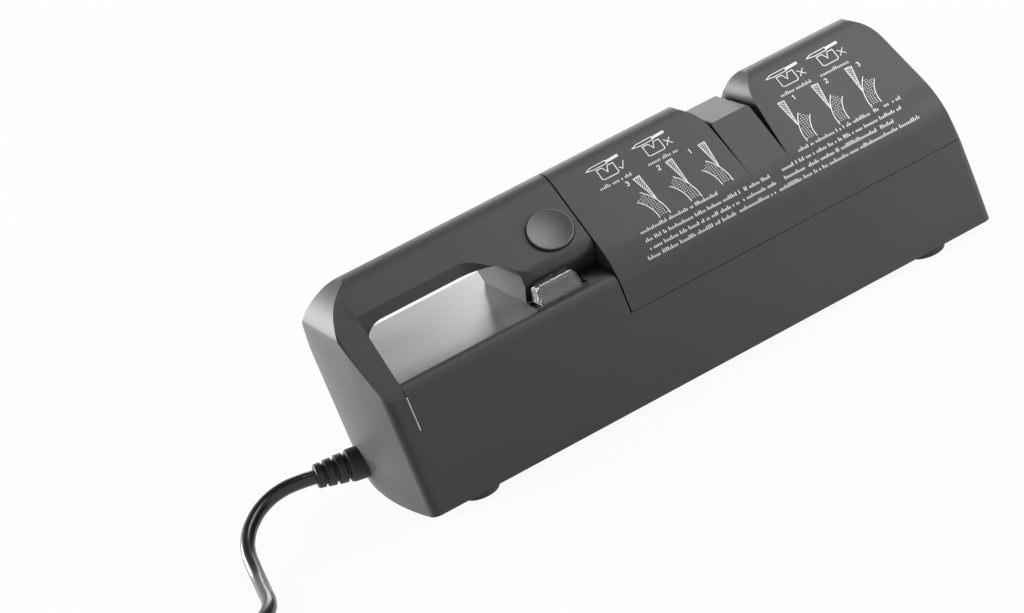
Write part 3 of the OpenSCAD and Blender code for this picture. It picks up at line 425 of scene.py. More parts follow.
def apply_modifiers(piece):
    """Turns a piece's modifiers into plain mesh."""
    mesh = evaluated_mesh(piece)
    piece.modifiers.clear()
    piece.data = mesh


def merged_copy(node):
    """A CAD node's mesh as one skin: its loose triangles joined and its flat faces made whole."""
    mesh = frame["nodes"][node].data.copy()
    skin = bmesh.new()
    skin.from_mesh(mesh)
    bmesh.ops.remove_doubles(skin, verts=skin.verts, dist=WELD)
    bmesh.ops.dissolve_limit(
        skin, angle_limit=FLAT_WITHIN, use_dissolve_boundaries=False, verts=skin.verts, edges=skin.edges
    )
    skin.to_mesh(mesh)
    skin.free()
    if "custom_normal" in mesh.attributes:
        mesh.attributes.remove(mesh.attributes["custom_normal"])
    mesh.shade_smooth()
    return mesh


def body_of(node):
    """The body that a CAD node moves with."""
    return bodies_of(frame["nodes"][node])[0]


def dress_node(context, node, material, edge):
    """A piece that stands for a CAD node, with its edges rounded as the mould or the tumbler leaves them."""
    made_of = finishes(context)[material]
    piece = link_piece(node + "_skin", merged_copy(node), made_of, body_of(node))
    round_off = piece.modifiers.new("Edges", "BEVEL")
    round_off.width = edge
    round_off.segments = context.scene.sharpener_sizes.edge_segments
    round_off.limit_method = "ANGLE"
    round_off.angle_limit = SHARP_FROM
    even_out = piece.modifiers.new("Flat faces", "WEIGHTED_NORMAL")
    even_out.mode = "FACE_AREA"
    even_out.weight = FACE_WEIGHT
    apply_modifiers(piece)
    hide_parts(node)
    return piece


# ---- camera -------------------------------------------------------------------------------------

# Solved from the photograph's straight edges; lens and sensor in millimetres
CAMERA_EYE = Vector((-475.2, -1433.1, 564.7)) * MM
CAMERA_AIM = Vector((-65.1, 0.0, 59.5)) * MM
CAMERA_ROLL = math.radians(-22.43)
CAMERA_LENS = 119.66
SENSOR_WIDTH = 36.0
CLIP_END = 100.0


class SHARPENER_OT_camera(bpy.types.Operator):
    """Adds the camera that sees the sharpener as the photograph does"""

    bl_idname = "sharpener.camera"
    bl_label = "Camera"

    def execute(self, context):
        data = bpy.data.cameras.new("Camera")
        data.lens = CAMERA_LENS
        data.sensor_width = SENSOR_WIDTH
        data.clip_end = CLIP_END
        camera = bpy.data.objects.new("Camera", data)
        context.scene.collection.objects.link(camera)
        level = (CAMERA_AIM - CAMERA_EYE).to_track_quat("-Z", "Y").to_matrix()
        turned = level @ Matrix.Rotation(CAMERA_ROLL, 3, "Z")
        camera.matrix_world = Matrix.Translation(CAMERA_EYE) @ turned.to_4x4()
        context.scene.camera = camera
        return {"FINISHED"}


# ---- cord ---------------------------------------------------------------------------------------

# Places in millimetres, as the CAD part has them
OUTLET = Vector((-152.6, 24.6, 17.2))
OUTLET_TURN = math.radians(6)
OUTLET_TILT = math.radians(8)
OUTLET_WAY = Vector(
    (
        -math.cos(OUTLET_TILT) * math.cos(OUTLET_TURN),
        math.cos(OUTLET_TILT) * math.sin(OUTLET_TURN),
        math.sin(OUTLET_TILT),
    )
)
SLEEVE_LENGTH = 24.4
CORD_EXIT = OUTLET + SLEEVE_LENGTH * OUTLET_WAY
# Points of the free stretch, and of the last stretch after the coil, from the place they start at
CORD_ROUTE = [
    (-41, 4.1, 4.7), (-51.5, 2.5, 3), (-60.5, -2.4, -0.1), (-67, -9.6, -3.5), (-70.9, -17.8, -6.8),
    (-73, -27, -9.8), (-74.7, -36.4, -12.1), (-76.3, -45.8, -13), (-78, -55.2, -13), (-79.6, -64.4, -13),
    (-83.3, -74.5, -13), (-90.2, -82.8, -13), (-99.5, -88.2, -12.9), (-110.1, -90, -12.7),
    (-127, -90, -12.6), (-147, -90, -12.6), (-168, -90, -12.6), (-190, -90, -12.6),
]
TAIL_ROUTE = [(-9, 0, 0), (-19, -0.4, -1.6), (-29, -0.8, -3.8), (-38, -0.8, -5.3), (-45, -0.8, -5.3)]
# The coil: radius at the middle of its turns, distance between turns and between layers, in millimetres
COIL_MIDDLE_R = 40.0
COIL_PITCH = 7.6
COIL_RISE = 7.6
COIL_LOOPS = 3
COIL_STEPS = 24
# Facets round a quarter of the cord, and pieces between two points of its line
CORD_FACETS = 5
CORD_STEPS = 5


def coil_points(start):
    """Turns that spiral in on the table, climb a layer in half a turn, and spiral out again."""
    outer = COIL_MIDDLE_R + COIL_PITCH * COIL_LOOPS / 2
    centre = start + Vector((0, outer, 0))
    climb = COIL_STEPS // 2
    layer = COIL_LOOPS * COIL_STEPS - climb // 2
    points = []
    for i in range(2 * layer + climb + 1):
        angle = -math.tau * (i / COIL_STEPS + 0.25)
        radius = outer - COIL_PITCH * min(i, 2 * layer + climb - i) / COIL_STEPS
        share = min(max((i - layer) / climb, 0), 1)
        height = COIL_RISE * (1 - math.cos(math.pi * share)) / 2
        points.append(centre + Vector((radius * math.cos(angle), radius * math.sin(angle), height)))
    return points


def cord_line(diameter_mm):
    """The cord's whole centreline in millimetres: free stretch, coil and the last stretch to the plug."""
    straight = Vector((-diameter_mm, 0, 0))
    free = [CORD_EXIT, CORD_EXIT + diameter_mm * OUTLET_WAY] + [OUTLET + Vector(p) for p in CORD_ROUTE]
    coil = coil_points(free[-1] + straight)
    coil_end = coil[-1] + straight
    return free + coil + [coil_end] + [coil_end + Vector(p) for p in TAIL_ROUTE]


class SHARPENER_OT_cord(bpy.types.Operator):
    """Adds the mains cord with its sleeve, tie and plug"""

    bl_idname = "sharpener.cord"
    bl_label = "Mains cord"

    def execute(self, context):
        sizes = context.scene.sharpener_sizes
        sleeve = dress_node(context, "strain_relief", "black_rubber", sizes.small_edge)
        tie = dress_node(context, "cord_tie", "nylon_strap", sizes.small_edge / 3)
        plug = dress_node(context, "plug_body", "cord_pvc", 3 * sizes.small_edge)
        pins = dress_node(context, "plug_pins", "bright_steel", sizes.small_edge)
        line = cord_line(sizes.cord_diameter / MM)
        curve = bpy.data.curves.new("mains_cord", "CURVE")
        curve.dimensions = "3D"
        curve.bevel_depth = sizes.cord_diameter / 2
        curve.bevel_resolution = CORD_FACETS
        curve.resolution_u = CORD_STEPS
        curve.use_fill_caps = True
        spline = curve.splines.new("BEZIER")
        spline.bezier_points.add(len(line) - 1)
        for knot, place in zip(spline.bezier_points, line):
            knot.co = place * MM
            knot.handle_left_type = knot.handle_right_type = "AUTO"
        curve.materials.append(finishes(context)["cord_pvc"])
        cord = bpy.data.objects.new("mains_cord", curve)
        context.scene.collection.objects.link(cord)
        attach(cord, "base")
        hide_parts("power_cord", "cord_coil", "cord_tail")
        return {"FINISHED"}


# ---- housing ------------------------------------------------------------------------------------

# A face of the motor cover is polished, and gets the lighter grey of a painted sheen, when its normal's height
# is more than this
SHEEN_AND_POLISH_ABOVE = 0.985
# A painted highlight: a light-coloured strip in the slit under the handle's rear foot, on each side, in
# millimetres
SLIT_X = (-140.18, -139.82)
SLIT_Z = (44.9, 61.7)
SLIT_Y = (48.4, 49.02)


class SHARPENER_OT_shells(bpy.types.Operator):
    """Dresses the moulded shells: base, bottom plate, motor cover, handle and head"""

    bl_idname = "sharpener.shells"
    bl_label = "Shells"

    def execute(self, context):
        sizes = context.scene.sharpener_sizes
        for node in ("base_housing", "bottom_plate", "handle", "head_cover"):
            dress_node(context, node, "housing_plastic", sizes.shell_edge)
        cover = dress_node(context, "motor_cover", "deck_plastic", sizes.small_edge)
        cover.data.materials.append(finishes(context)["housing_plastic"])
        for face in cover.data.polygons:
            # only the level top is polished and gets the lighter grey, a painted sheen: the round edges have
            # the grain and grey of the sides
            face.material_index = int(face.normal.z <= SHEEN_AND_POLISH_ABOVE)
        self.slit_painted_glints(context)
        return {"FINISHED"}

    def slit_painted_glints(self, context):
        """Fills the slits with light-coloured strips, a painted highlight for the glint of light on their
        edges.
        """
        solid = bmesh.new()
        for side in (-1, 1):
            corners = bmesh.ops.create_cube(solid, size=1.0)["verts"]
            for vertex in corners:
                x, y, z = (span[c > 0] for span, c in zip((SLIT_X, SLIT_Y, SLIT_Z), vertex.co))
                vertex.co = Vector((x, side * y, z)) * MM
        bmesh.ops.recalc_face_normals(solid, faces=solid.faces)
        mesh = bpy.data.meshes.new("slit_painted_glints")
        solid.to_mesh(mesh)
        solid.free()
        # print ink stands in for the glint: a painted highlight
        painted_glint_ink = finishes(context)["print_ink"]
        link_piece("slit_painted_glints", mesh, painted_glint_ink, body_of("base_housing"))


# ---- print on the head --------------------------------------------------------------------------

# The near roof face, in millimetres: a round ridge, a flat slope and a round shoulder
ROOF_SLOPE = math.radians(42.3)
RIDGE_R = 14.75
SHOULDER_R = 27.0
HALF_WIDTH = 49.0
RIDGE_Z = 110.0
INK_THICKNESS = 0.09
# Longest straight piece of a line, so that it follows the round parts of the roof
INK_STEP = 0.9
# Points of the ink nearer than this are one, flat in millimetres and on the roof in metres
INK_MERGE = 1e-5
INK_WELD = 0.001 * MM
# A turn with less than this left of both ways goes straight on; a mitre is at most 1 / MITRE_MIN wide
STRAIGHT_BELOW = 0.2
MITRE_MIN = 0.5

# Rows of marks as (start, end along the body, distance down from the ridge line), in millimetres
MARK_ROWS = [
    (-8, 34, 54.5), (-8, 60, 59), (-8, 62, 63), (-11, 139, 66.8),
    (78, 135, 54.5), (66, 133, 59), (65, 126, 63),
    (-11, 7, 24.8), (15, 32, 24.8), (88, 106, 24.8), (110, 127, 24.8),
]
MARK_PITCH = 0.95
# How far the marks stand below the middle of their row, and the share of them that is short
MARK_DROP = 0.7
SHORT_SHARE = 0.7

# Rule diagrams as (middle along the body, whether it shows the right way), and their lines from the middle
RULES = [(-2.5, True), (22.5, False), (96.5, False), (119.0, False)]
RULES_DOWN = 15.5
RULE_BLOCK = [
    (-4.4, 0.6), (-4.4, -5), (-3.6, -5.6), (3.6, -5.6), (4.4, -5), (4.4, 0.6), (1.4, 0.6), (0, -2.6),
    (-1.4, 0.6),
]
RULE_BLADE = [(-9, 2.2), (-6.4, 3.3), (2, 3.5), (2, 1.7), (-5, 1.6)]
RULE_GRIP = [(2, 2.6), (8.6, 3)]
GRIP_WIDTH = 1.5
TICK = [(5.6, -3), (6.8, -4.6), (9.2, -0.8)]
CROSS = [[(5.9, -1), (9.1, -4.6)], [(9.1, -1), (5.9, -4.6)]]

# Step diagrams as (middle along the body, number, side of the slot: -1 left, 1 right)
STEPS = [(5.0, 3, -1), (22.0, 2, -1), (39.0, 1, -1), (89.5, 1, 1), (107.5, 2, 1), (125.5, 3, 1)]
STEPS_DOWN = 40.0
# Their belt is a band between two radii, dotted inside a margin; the blade's tip touches it at an angle
BAND_INNER, BAND_OUTER = 16.5, 22.0
BAND_START = math.radians(-4)
BAND_MARGIN, BAND_END_MARGIN = 0.6, 0.03
# The band ends later and the blade leans more with each number, in degrees
BAND_END, BAND_END_STEP = 38, 2
BLADE_LEAN, BLADE_LEAN_STEP = 88, 3
DOT_PITCH = 1.15
TOUCH = math.radians(22)
TIP = Vector((3.5, -2.5))
TIP_GAP = 0.3
STEP_BLADE_LENGTH, STEP_BLADE_HALF = 15.0, 1.7
HATCHES = range(4, 13)
HATCH_PARTS = 13
HATCH_RISE = 0.1
HATCH_WIDTH = 0.3
DIGIT_PLACE = (3.5, -11.5)
DIGITS = {
    1: [[(-0.5, 0.7), (0.1, 1.2), (0.1, -1.2)]],
    2: [[(-0.7, 0.7), (-0.3, 1.15), (0.3, 1.15), (0.65, 0.7), (0.5, 0.2), (-0.7, -1.2), (0.75, -1.2)]],
    3: [
        [(-0.65, 0.85), (-0.2, 1.2), (0.3, 1.15), (0.6, 0.7), (0.3, 0.15), (-0.15, 0.1)],
        [(0.3, 0.15), (0.7, -0.4), (0.4, -1.05), (-0.2, -1.2), (-0.7, -0.85)],
    ],
}


def on_roof(along, down, lift):
    """The place of a point that lies down from the ridge line and lift over the near roof face."""
    ridge_arc = RIDGE_R * ROOF_SLOPE
    shoulder_y = HALF_WIDTH - SHOULDER_R
    slope_start = Vector((RIDGE_R * math.sin(ROOF_SLOPE), RIDGE_Z - RIDGE_R + RIDGE_R * math.cos(ROOF_SLOPE)))
    slope_length = (shoulder_y + SHOULDER_R * math.sin(ROOF_SLOPE) - slope_start.x) / math.cos(ROOF_SLOPE)
    if down < ridge_arc:
        angle = down / RIDGE_R
        side, up = (RIDGE_R + lift) * math.sin(angle), RIDGE_Z - RIDGE_R + (RIDGE_R + lift) * math.cos(angle)
    elif down < ridge_arc + slope_length:
        run = down - ridge_arc
        side = slope_start.x + run * math.cos(ROOF_SLOPE) + lift * math.sin(ROOF_SLOPE)
        up = slope_start.y - run * math.sin(ROOF_SLOPE) + lift * math.cos(ROOF_SLOPE)
    else:
        angle = ROOF_SLOPE + (down - ridge_arc - slope_length) / SHOULDER_R
        drop = slope_length * math.sin(ROOF_SLOPE) + SHOULDER_R * math.cos(ROOF_SLOPE)
        side = shoulder_y + (SHOULDER_R + lift) * math.sin(angle)
        up = slope_start.y - drop + (SHOULDER_R + lift) * math.cos(angle)
    return Vector((along, -side, up))


def new_tree(name, inputs):
    """A geometry tree with a geometry output and these named inputs, as {name: (socket type, default)}."""
    tree = bpy.data.node_groups.new(name, "GeometryNodeTree")
    tree.interface.new_socket("Geometry", in_out="OUTPUT", socket_type="NodeSocketGeometry")
    for label, (kind, default) in inputs.items():
        tree.interface.new_socket(label, in_out="INPUT", socket_type=kind).default_value = default
    return tree, tree.nodes.new("NodeGroupInput").outputs


def end_tree(tree, geometry, material):
    """Ends a tree in real geometry of one material."""
    real = add_node(tree, "GeometryNodeRealizeInstances", links={"Geometry": geometry})
    inked = add_node(
        tree, "GeometryNodeSetMaterial", values={"Material": material},
        links={"Geometry": real.outputs["Geometry"]},
    )
    add_node(tree, "NodeGroupOutput", links={"Geometry": inked.outputs["Geometry"]})


def grown(tree, values):
    """The mesh that a geometry tree makes from these input values."""
    mesh = bpy.data.meshes.new(tree.name)
    holder = bpy.data.objects.new(tree.name, mesh)
    bpy.context.scene.collection.objects.link(holder)
    modifier = holder.modifiers.new(tree.name, "NODES")
    modifier.node_group = tree
    sockets = {item.name: item.identifier for item in tree.interface.items_tree if item.in_out == "INPUT"}
    for label, value in values.items():
        modifier[sockets[label]] = value
    made = evaluated_mesh(holder)
    bpy.data.objects.remove(holder)
    return made


def mark_tree(material):
    """Upright marks of two heights in a row along X, with gaps, like small print too far away to read."""
    tree, given = new_tree(
        "Mark row",
        {
            "Count": ("NodeSocketInt", 30), "Pitch": ("NodeSocketFloat", 1.0),
            "Width": ("NodeSocketFloat", 0.45), "Low": ("NodeSocketFloat", 1.1),
            "High": ("NodeSocketFloat", 1.9), "Gaps": ("NodeSocketFloat", 0.16),
            "Seed": ("NodeSocketInt", 0),
        },
    )
    step = add_node(tree, "ShaderNodeCombineXYZ", links={"X": given["Pitch"]})
    row = add_node(
        tree, "GeometryNodeMeshLine", links={"Count": given["Count"], "Offset": step.outputs["Vector"]}
    )
    gap = add_node(
        tree, "FunctionNodeRandomValue", settings={"data_type": "BOOLEAN"},
        links={"Probability": given["Gaps"], "Seed": given["Seed"]},
    )
    words = add_node(
        tree, "GeometryNodeDeleteGeometry", settings={"domain": "POINT"},
        links={"Geometry": row.outputs["Mesh"], "Selection": gap.outputs[3]},
    )
    # one mark is a unit square that stands on the row
    mark = add_node(
        tree, "GeometryNodeMeshGrid", values={"Size X": 1.0, "Size Y": 1.0, "Vertices X": 2, "Vertices Y": 2}
    )
    standing = add_node(
        tree, "GeometryNodeTransform", values={"Translation": (0, 0.5, 0)},
        links={"Geometry": mark.outputs["Mesh"]},
    )
    share = add_node(
        tree, "FunctionNodeRandomValue", settings={"data_type": "FLOAT"}, links={"Seed": given["Count"]}
    )
    tall = sums(tree, "GREATER_THAN", share.outputs[1], SHORT_SHARE)
    height = add_node(
        tree, "ShaderNodeMapRange", links={"Value": tall, "To Min": given["Low"], "To Max": given["High"]}
    )
    size = add_node(
        tree, "ShaderNodeCombineXYZ", values={"Z": 1.0},
        links={"X": given["Width"], "Y": height.outputs["Result"]},
    )
    marks = add_node(
        tree, "GeometryNodeInstanceOnPoints",
        links={
            "Points": words.outputs["Geometry"], "Instance": standing.outputs["Geometry"],
            "Scale": size.outputs["Vector"],
        },
    )
    end_tree(tree, marks.outputs["Instances"], material)
    return tree


def dot_tree(material):
    """Dots on a grid, kept between two radii and two angles round the origin."""
    tree, given = new_tree(
        "Dotted band",
        {
            "Pitch": ("NodeSocketFloat", 1.2), "Dot": ("NodeSocketFloat", 0.26),
            "Inner": ("NodeSocketFloat", 9.0), "Outer": ("NodeSocketFloat", 14.0),
            "From": ("NodeSocketFloat", 0.3), "To": ("NodeSocketFloat", 1.6),
        },
    )
    width = sums(tree, "MULTIPLY", given["Outer"], 2.0)
    count = sums(tree, "DIVIDE", width, given["Pitch"])
    field = add_node(
        tree, "GeometryNodeMeshGrid",
        links={"Size X": width, "Size Y": width, "Vertices X": count, "Vertices Y": count},
    )
    place = tree.nodes.new("GeometryNodeInputPosition").outputs[0]
    axes = add_node(tree, "ShaderNodeSeparateXYZ", links={0: place}).outputs
    reach = add_node(
        tree, "ShaderNodeVectorMath", settings={"operation": "LENGTH"}, links={0: place}
    ).outputs["Value"]
    angle = sums(tree, "ARCTAN2", axes["Y"], axes["X"])
    tests = [
        add_node(
            tree, "FunctionNodeCompare", settings={"data_type": "FLOAT", "operation": operation},
            links={0: value, 1: given[limit]},
        ).outputs[0]
        for value, operation, limit in (
            (reach, "LESS_THAN", "Inner"), (reach, "GREATER_THAN", "Outer"),
            (angle, "LESS_THAN", "From"), (angle, "GREATER_THAN", "To"),
        )
    ]
    outside = tests[0]
    for test in tests[1:]:
        outside = add_node(
            tree, "FunctionNodeBooleanMath", settings={"operation": "OR"}, links={0: outside, 1: test}
        ).outputs[0]
    kept = add_node(
        tree, "GeometryNodeDeleteGeometry", settings={"domain": "POINT"},
        links={"Geometry": field.outputs["Mesh"], "Selection": outside},
    )
    dot = add_node(
        tree, "GeometryNodeMeshCircle", settings={"fill_type": "NGON"}, values={"Vertices": 8},
        links={"Radius": given["Dot"]},
    )
    dots = add_node(
        tree, "GeometryNodeInstanceOnPoints",
        links={"Points": kept.outputs["Geometry"], "Instance": dot.outputs["Mesh"]},
    )
    end_tree(tree, dots.outputs["Instances"], material)
    return tree


def arc_line(middle, radius, start, end, steps=14):
    """Points on an arc between two angles in radians."""
    angles = [start + (end - start) * i / steps for i in range(steps + 1)]
    return [(middle[0] + radius * math.cos(a), middle[1] + radius * math.sin(a)) for a in angles]


class FlatPrint:
    """Print drawn flat, X along the body and Y down from the ridge line, in millimetres."""

    def __init__(self, stroke):
        self.skin = bmesh.new()
        self.stroke = stroke

    def line(self, points, place, closed=False, flip=1, width=None):
        """A stroke of even width through points [(x, y up)] round a place (x, down)."""
        dots = [Vector((place[0] + flip * x, place[1] - y)) for x, y in points]
        if closed:
            dots.append(dots[0])
        fine = [dots[0]]
        for a, b in zip(dots, dots[1:]):
            count = max(1, math.ceil((b - a).length / INK_STEP))
            fine.extend(a.lerp(b, (i + 1) / count) for i in range(count))
        ways = [(b - a).normalized() for a, b in zip(fine, fine[1:])]
        rows = []
        for i, dot in enumerate(fine):
            before = ways[max(i - 1, 0)] if i or not closed else ways[-1]
            after = ways[min(i, len(ways) - 1)] if i < len(ways) or not closed else ways[0]
            both = before + after
            mean = both.normalized() if both.length > STRAIGHT_BELOW else before
            half = (width or self.stroke) / 2 / max(mean.dot(before), MITRE_MIN)
            side = Vector((-mean.y, mean.x)) * half
            rows.append([self.skin.verts.new((*(dot + side), 0)), self.skin.verts.new((*(dot - side), 0))])
        if closed:
            rows[-1] = rows[0]
        for (a, b), (c, d) in zip(rows, rows[1:]):
            self.skin.faces.new((a, b, d, c))

    def stamp(self, mesh, place, flip=1):
        """A flat mesh, Y up, put at a place (x, down)."""
        for vertex in mesh.vertices:
            vertex.co = (place[0] + flip * vertex.co.x, place[1] - vertex.co.y, 0)
        self.skin.from_mesh(mesh)

    def wrapped(self, name):
        """The print as closed ink of even thickness on the near roof face."""
        solid = bmesh.new()
        bmesh.ops.dissolve_degenerate(self.skin, dist=INK_MERGE, edges=self.skin.edges)
        flat = bpy.data.meshes.new(name)
        self.skin.to_mesh(flat)
        self.skin.free()
        for face in flat.polygons:
            ring = [flat.vertices[i].co for i in face.vertices]
            low = [solid.verts.new(on_roof(p.x, p.y, 0) * MM) for p in ring]
            high = [solid.verts.new(on_roof(p.x, p.y, INK_THICKNESS) * MM) for p in ring]
            solid.faces.new(low)
            solid.faces.new(high[::-1])
            for i in range(len(ring)):
                j = (i + 1) % len(ring)
                solid.faces.new((low[i], high[i], high[j], low[j]))
        bmesh.ops.remove_doubles(solid, verts=solid.verts, dist=INK_WELD)
        self.drop_inner_walls(solid)
        bmesh.ops.recalc_face_normals(solid, faces=solid.faces)
        mesh = bpy.data.meshes.new(name)
        solid.to_mesh(mesh)
        solid.free()
        return mesh

    def drop_inner_walls(self, solid):
        """Deletes the pairs of walls that neighbouring faces of one stroke share."""
        walls = {}
        for face in solid.faces:
            walls.setdefault(frozenset(face.verts), []).append(face)
        doubled = [face for pair in walls.values() if len(pair) > 1 for face in pair]
        bmesh.ops.delete(solid, geom=doubled, context="FACES_ONLY")


class SHARPENER_OT_roof_print(bpy.types.Operator):
    """Prints plain diagrams and rows of small marks on the near roof face of the head"""

    bl_idname = "sharpener.roof_print"
    bl_label = "Print on the head"

    def execute(self, context):
        ink = finishes(context)["print_ink"]
        art = FlatPrint(context.scene.sharpener_sizes.stroke / MM)
        self.mark_rows(art, mark_tree(ink))
        for along, right_way in RULES:
            self.rule_diagram(art, (along, RULES_DOWN), right_way)
        dots = dot_tree(ink)
        for along, number, side in STEPS:
            self.step_diagram(art, (along, STEPS_DOWN), number, side, dots)
        link_piece("roof_print", art.wrapped("roof_print"), ink, "cover")
        return {"FINISHED"}

    def mark_rows(self, art, tree):
        """Rows of marks, each with its own gaps."""
        for number, (start, end, down) in enumerate(MARK_ROWS):
            count = int((end - start) / MARK_PITCH)
            row = grown(tree, {"Count": count, "Pitch": MARK_PITCH, "Width": art.stroke, "Seed": number})
            art.stamp(row, (start + MARK_PITCH / 2, down + MARK_DROP))

    def rule_diagram(self, art, place, right_way):
        """A blade over a round-cornered block with a notch, and a tick or a cross beside them."""
        art.line(RULE_BLOCK, place, closed=True)
        art.line(RULE_BLADE, place, closed=True)
        art.line(RULE_GRIP, place, width=GRIP_WIDTH)
        for stroke in [TICK] if right_way else CROSS:
            art.line(stroke, place)

    def step_diagram(self, art, place, number, side, dots):
        """A hatched blade that meets a dotted belt, and a plain number beside it."""
        end = math.radians(BAND_END + BAND_END_STEP * number)
        lean = math.radians(BLADE_LEAN + BLADE_LEAN_STEP * number)
        middle = TIP - (BAND_OUTER + TIP_GAP) * Vector((math.cos(TOUCH), math.sin(TOUCH)))
        for radius in (BAND_INNER, BAND_OUTER):
            art.line(arc_line(middle, radius, BAND_START, end), place, flip=-side)
        band = grown(
            dots,
            {
                "Inner": BAND_INNER + BAND_MARGIN, "Outer": BAND_OUTER - BAND_MARGIN,
                "From": BAND_START + BAND_END_MARGIN, "To": end - BAND_END_MARGIN, "Pitch": DOT_PITCH,
            },
        )
        art.stamp(band, (place[0] - side * middle[0], place[1] - middle[1]), flip=-side)
        way = Vector((math.cos(lean), math.sin(lean)))
        across = Vector((-way.y, way.x)) * STEP_BLADE_HALF
        left, right = TIP + way * STEP_BLADE_LENGTH + across, TIP + way * STEP_BLADE_LENGTH - across
        art.line([TIP, left, right], place, closed=True, flip=-side)
        for i in HATCHES:
            share = i / HATCH_PARTS
            hatch = [TIP.lerp(left, share), TIP.lerp(right, min(share + HATCH_RISE, 1))]
            art.line(hatch, place, flip=-side, width=HATCH_WIDTH)
        for stroke in DIGITS[number]:
            art.line(stroke, (place[0] + side * DIGIT_PLACE[0], place[1] + DIGIT_PLACE[1]))


class SHARPENER_OT_button(bpy.types.Operator):
    """Dresses the push button in the roof of the handle"""

    bl_idname = "sharpener.button"
    bl_label = "Push button"

    def execute(self, context):
        dress_node(context, "push_button", "button_plastic", context.scene.sharpener_sizes.shell_edge)
        return {"FINISHED"}


class SHARPENER_OT_rocker_switch(bpy.types.Operator):
    """Dresses the mains switch: its frame, the rocker and the clear cap over it"""

    bl_idname = "sharpener.rocker_switch"
    bl_label = "Rocker switch"

    def execute(self, context):
        small = context.scene.sharpener_sizes.small_edge
        dress_node(context, "rocker_frame", "black_plastic", small)
        dress_node(context, "rocker", "red_plastic", small)
        dress_node(context, "switch_cap", "clear_plastic", small)
        return {"FINISHED"}


class SHARPENER_OT_feet(bpy.types.Operator):
    """Dresses the rubber feet and their screws"""

    bl_idname = "sharpener.feet"
    bl_label = "Feet"

    def execute(self, context):
        sizes = context.scene.sharpener_sizes
        dress_node(context, "rubber_feet", "black_rubber", sizes.small_edge)
        dress_node(context, "foot_screws", "bright_steel", sizes.small_edge / 3)
        return {"FINISHED"}


# Springs as (node, joint, axis towards the end that moves, travel of that end in millimetres)
BUTTON_WAY = Vector((0, -0.673013, 0.739631))
SPRINGS = [
    ("button_spring", "push_button_press", BUTTON_WAY, 2.5),
    ("tension_spring", "tension_arm_swing", Vector((1, 0, 0)), 1.1),
]


class SHARPENER_OT_springs(bpy.types.Operator):
    """Adds the springs under the button and behind the arm"""

    bl_idname = "sharpener.springs"
    bl_label = "Springs"

    def execute(self, context):
        slots = {part["node"]: part["material_slot"] for part in frame["record"]["subparts"]}
        for node, joint, axis, travel in SPRINGS:
            slot = slots[node]
            steel = finishes(context)[slot]
            piece = link_piece(node + "_coils", merged_copy(node), steel, body_of(node))
            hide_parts(node)
            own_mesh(piece)
        return {"FINISHED"}


class SHARPENER_OT_mechanism(bpy.types.Operator):
    """Gives the motor, the belt drive and the other inner parts their metals and plastics"""

    bl_idname = "sharpener.mechanism"
    bl_label = "Mechanism"

    def execute(self, context):
        for part in frame["record"]["subparts"]:
            node = frame["nodes"][part["node"]]
            if not node.hide_render:
                for slot in node.material_slots:
                    slot.material = finishes(context)[part["material_slot"]]
        return {"FINISHED"}


# ---- stage --------------------------------------------------------------------------------------

# Soft boxes as (name, place, aim, width, height in metres, watts)
SOFT_BOXES = [
    ("Overhead", (1.0, -0.25, 1.8), (0.1, 0.0, 0.1), 1.3, 1.1, 28.0),
    ("Front right", (0.58, -0.42, 0.22), (0.12, 0.0, 0.06), 0.3, 0.3, 4.6),
    ("Rear left", (-2.0, 1.7, 0.6), (-0.15, 0.0, 0.05), 2.2, 1.3, 172.0),
    ("Back", (1.45, 2.4, 1.1), (-0.08, 0.0, 0.07), 1.8, 1.0, 25.0),
]
WORLD_STRENGTH = 0.17
# The surroundings are white walls under a darker ceiling; heights are sines of the elevation
WALL_TOP = 0.5
CEILING_EDGE = 0.85
CEILING_SHADE = 0.15
# How white the floor is to the camera; the rest of it shows the object's shadow
FLOOR_WHITE = 0.94
WHITE = (1, 1, 1, 1)


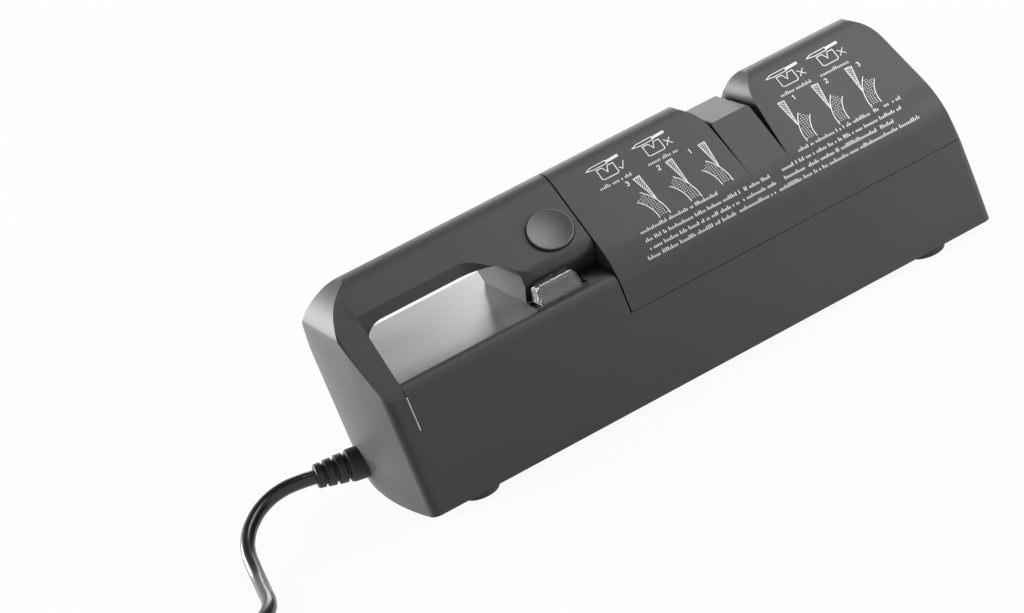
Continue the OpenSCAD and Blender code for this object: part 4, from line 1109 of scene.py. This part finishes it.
class SHARPENER_OT_stage(bpy.types.Operator):
    """Adds the pale floor, the soft boxes and the white surroundings"""

    bl_idname = "sharpener.stage"
    bl_label = "Stage"

    def execute(self, context):
        self.floor(context)
        self.lights(context)
        self.world(context)
        context.scene.view_settings.view_transform = "Standard"
        return {"FINISHED"}

    def floor(self, context):
        half = context.scene.sharpener_sizes.floor_size / 2
        mesh = bpy.data.meshes.new("floor")
        corners = [(-half, -half, 0), (half, -half, 0), (half, half, 0), (-half, half, 0)]
        mesh.from_pydata(corners, [], [(0, 1, 2, 3)])
        floor = bpy.data.objects.new("floor", mesh)
        context.scene.collection.objects.link(floor)
        material, tree = new_material("Matt paper")
        colour = context.scene.sharpener_colours.floor
        paper = add_node(tree, "ShaderNodeBsdfDiffuse", values={"Color": colour})
        white = add_node(tree, "ShaderNodeEmission", values={"Color": WHITE, "Strength": 1.0})
        share = sums(tree, "MULTIPLY", self.seen_directly(tree), FLOOR_WHITE)
        both = add_node(
            tree, "ShaderNodeMixShader",
            links={0: share, 1: paper.outputs["BSDF"], 2: white.outputs["Emission"]},
        )
        add_node(tree, "ShaderNodeOutputMaterial", links={"Surface": both.outputs["Shader"]})
        mesh.materials.append(material)

    def seen_directly(self, tree):
        """1 for rays from the camera, from a gloss or through glass, which see white surroundings."""
        path = add_node(tree, "ShaderNodeLightPath").outputs
        first = sums(tree, "MAXIMUM", path["Is Camera Ray"], path["Is Glossy Ray"])
        return sums(tree, "MAXIMUM", first, path["Is Transmission Ray"])

    def lights(self, context):
        for name, place, aim, width, height, watts in SOFT_BOXES:
            data = bpy.data.lights.new(name, "AREA")
            data.shape = "RECTANGLE"
            data.size = width
            data.size_y = height
            data.energy = watts
            lamp = bpy.data.objects.new(name, data)
            context.scene.collection.objects.link(lamp)
            way = (Vector(aim) - Vector(place)).to_track_quat("-Z", "Y")
            lamp.matrix_world = Matrix.Translation(place) @ way.to_matrix().to_4x4()

    def world(self, context):
        world = bpy.data.worlds.new("Studio")
        context.scene.world = world
        world.use_nodes = True
        tree = world.node_tree
        tree.nodes.clear()
        lit = add_node(tree, "ShaderNodeBackground", values={"Color": WHITE, "Strength": WORLD_STRENGTH})
        way = add_node(tree, "ShaderNodeTexCoord")
        height = add_node(tree, "ShaderNodeSeparateXYZ", links={0: way.outputs["Generated"]})
        above = add_node(
            tree, "ShaderNodeMapRange",
            values={"From Min": WALL_TOP, "From Max": CEILING_EDGE, "To Min": 1.0, "To Max": CEILING_SHADE},
            links={"Value": height.outputs["Z"]},
        )
        white = add_node(
            tree, "ShaderNodeBackground", values={"Color": WHITE}, links={"Strength": above.outputs["Result"]}
        )
        both = add_node(
            tree, "ShaderNodeMixShader",
            links={0: self.seen_directly(tree), 1: lit.outputs[0], 2: white.outputs[0]},
        )
        add_node(tree, "ShaderNodeOutputWorld", links={"Surface": both.outputs[0]})


# ---- panel and registering ----------------------------------------------------------------------

OPERATORS = [
    SHARPENER_OT_camera,
    SHARPENER_OT_cord,
    SHARPENER_OT_shells,
    SHARPENER_OT_roof_print,
    SHARPENER_OT_button,
    SHARPENER_OT_rocker_switch,
    SHARPENER_OT_feet,
    SHARPENER_OT_springs,
    SHARPENER_OT_mechanism,
    SHARPENER_OT_stage,
]


class SHARPENER_PT_panel(bpy.types.Panel):
    """Lists the sharpener's pieces and its sizes and colours"""

    bl_idname = "SHARPENER_PT_panel"
    bl_label = "Knife sharpener"
    bl_space_type = "VIEW_3D"
    bl_region_type = "UI"
    bl_category = "Sharpener"

    def draw(self, context):
        for group in (context.scene.sharpener_sizes, context.scene.sharpener_colours):
            for name in group.__annotations__:
                self.layout.prop(group, name)
        for operator in OPERATORS:
            self.layout.operator(operator.bl_idname)


CLASSES = [SharpenerSizes, SharpenerColours, *OPERATORS, SHARPENER_PT_panel]


def register():
    for part in CLASSES:
        bpy.utils.register_class(part)
    bpy.types.Scene.sharpener_sizes = PointerProperty(type=SharpenerSizes)
    bpy.types.Scene.sharpener_colours = PointerProperty(type=SharpenerColours)


def unregister():
    del bpy.types.Scene.sharpener_colours
    del bpy.types.Scene.sharpener_sizes
    for part in reversed(CLASSES):
        bpy.utils.unregister_class(part)


def main():
    """Builds everything in order."""
    register()
    for operator in OPERATORS:
        area, name = operator.bl_idname.split(".")
        getattr(getattr(bpy.ops, area), name)()


if __name__ == "__main__":
    main()
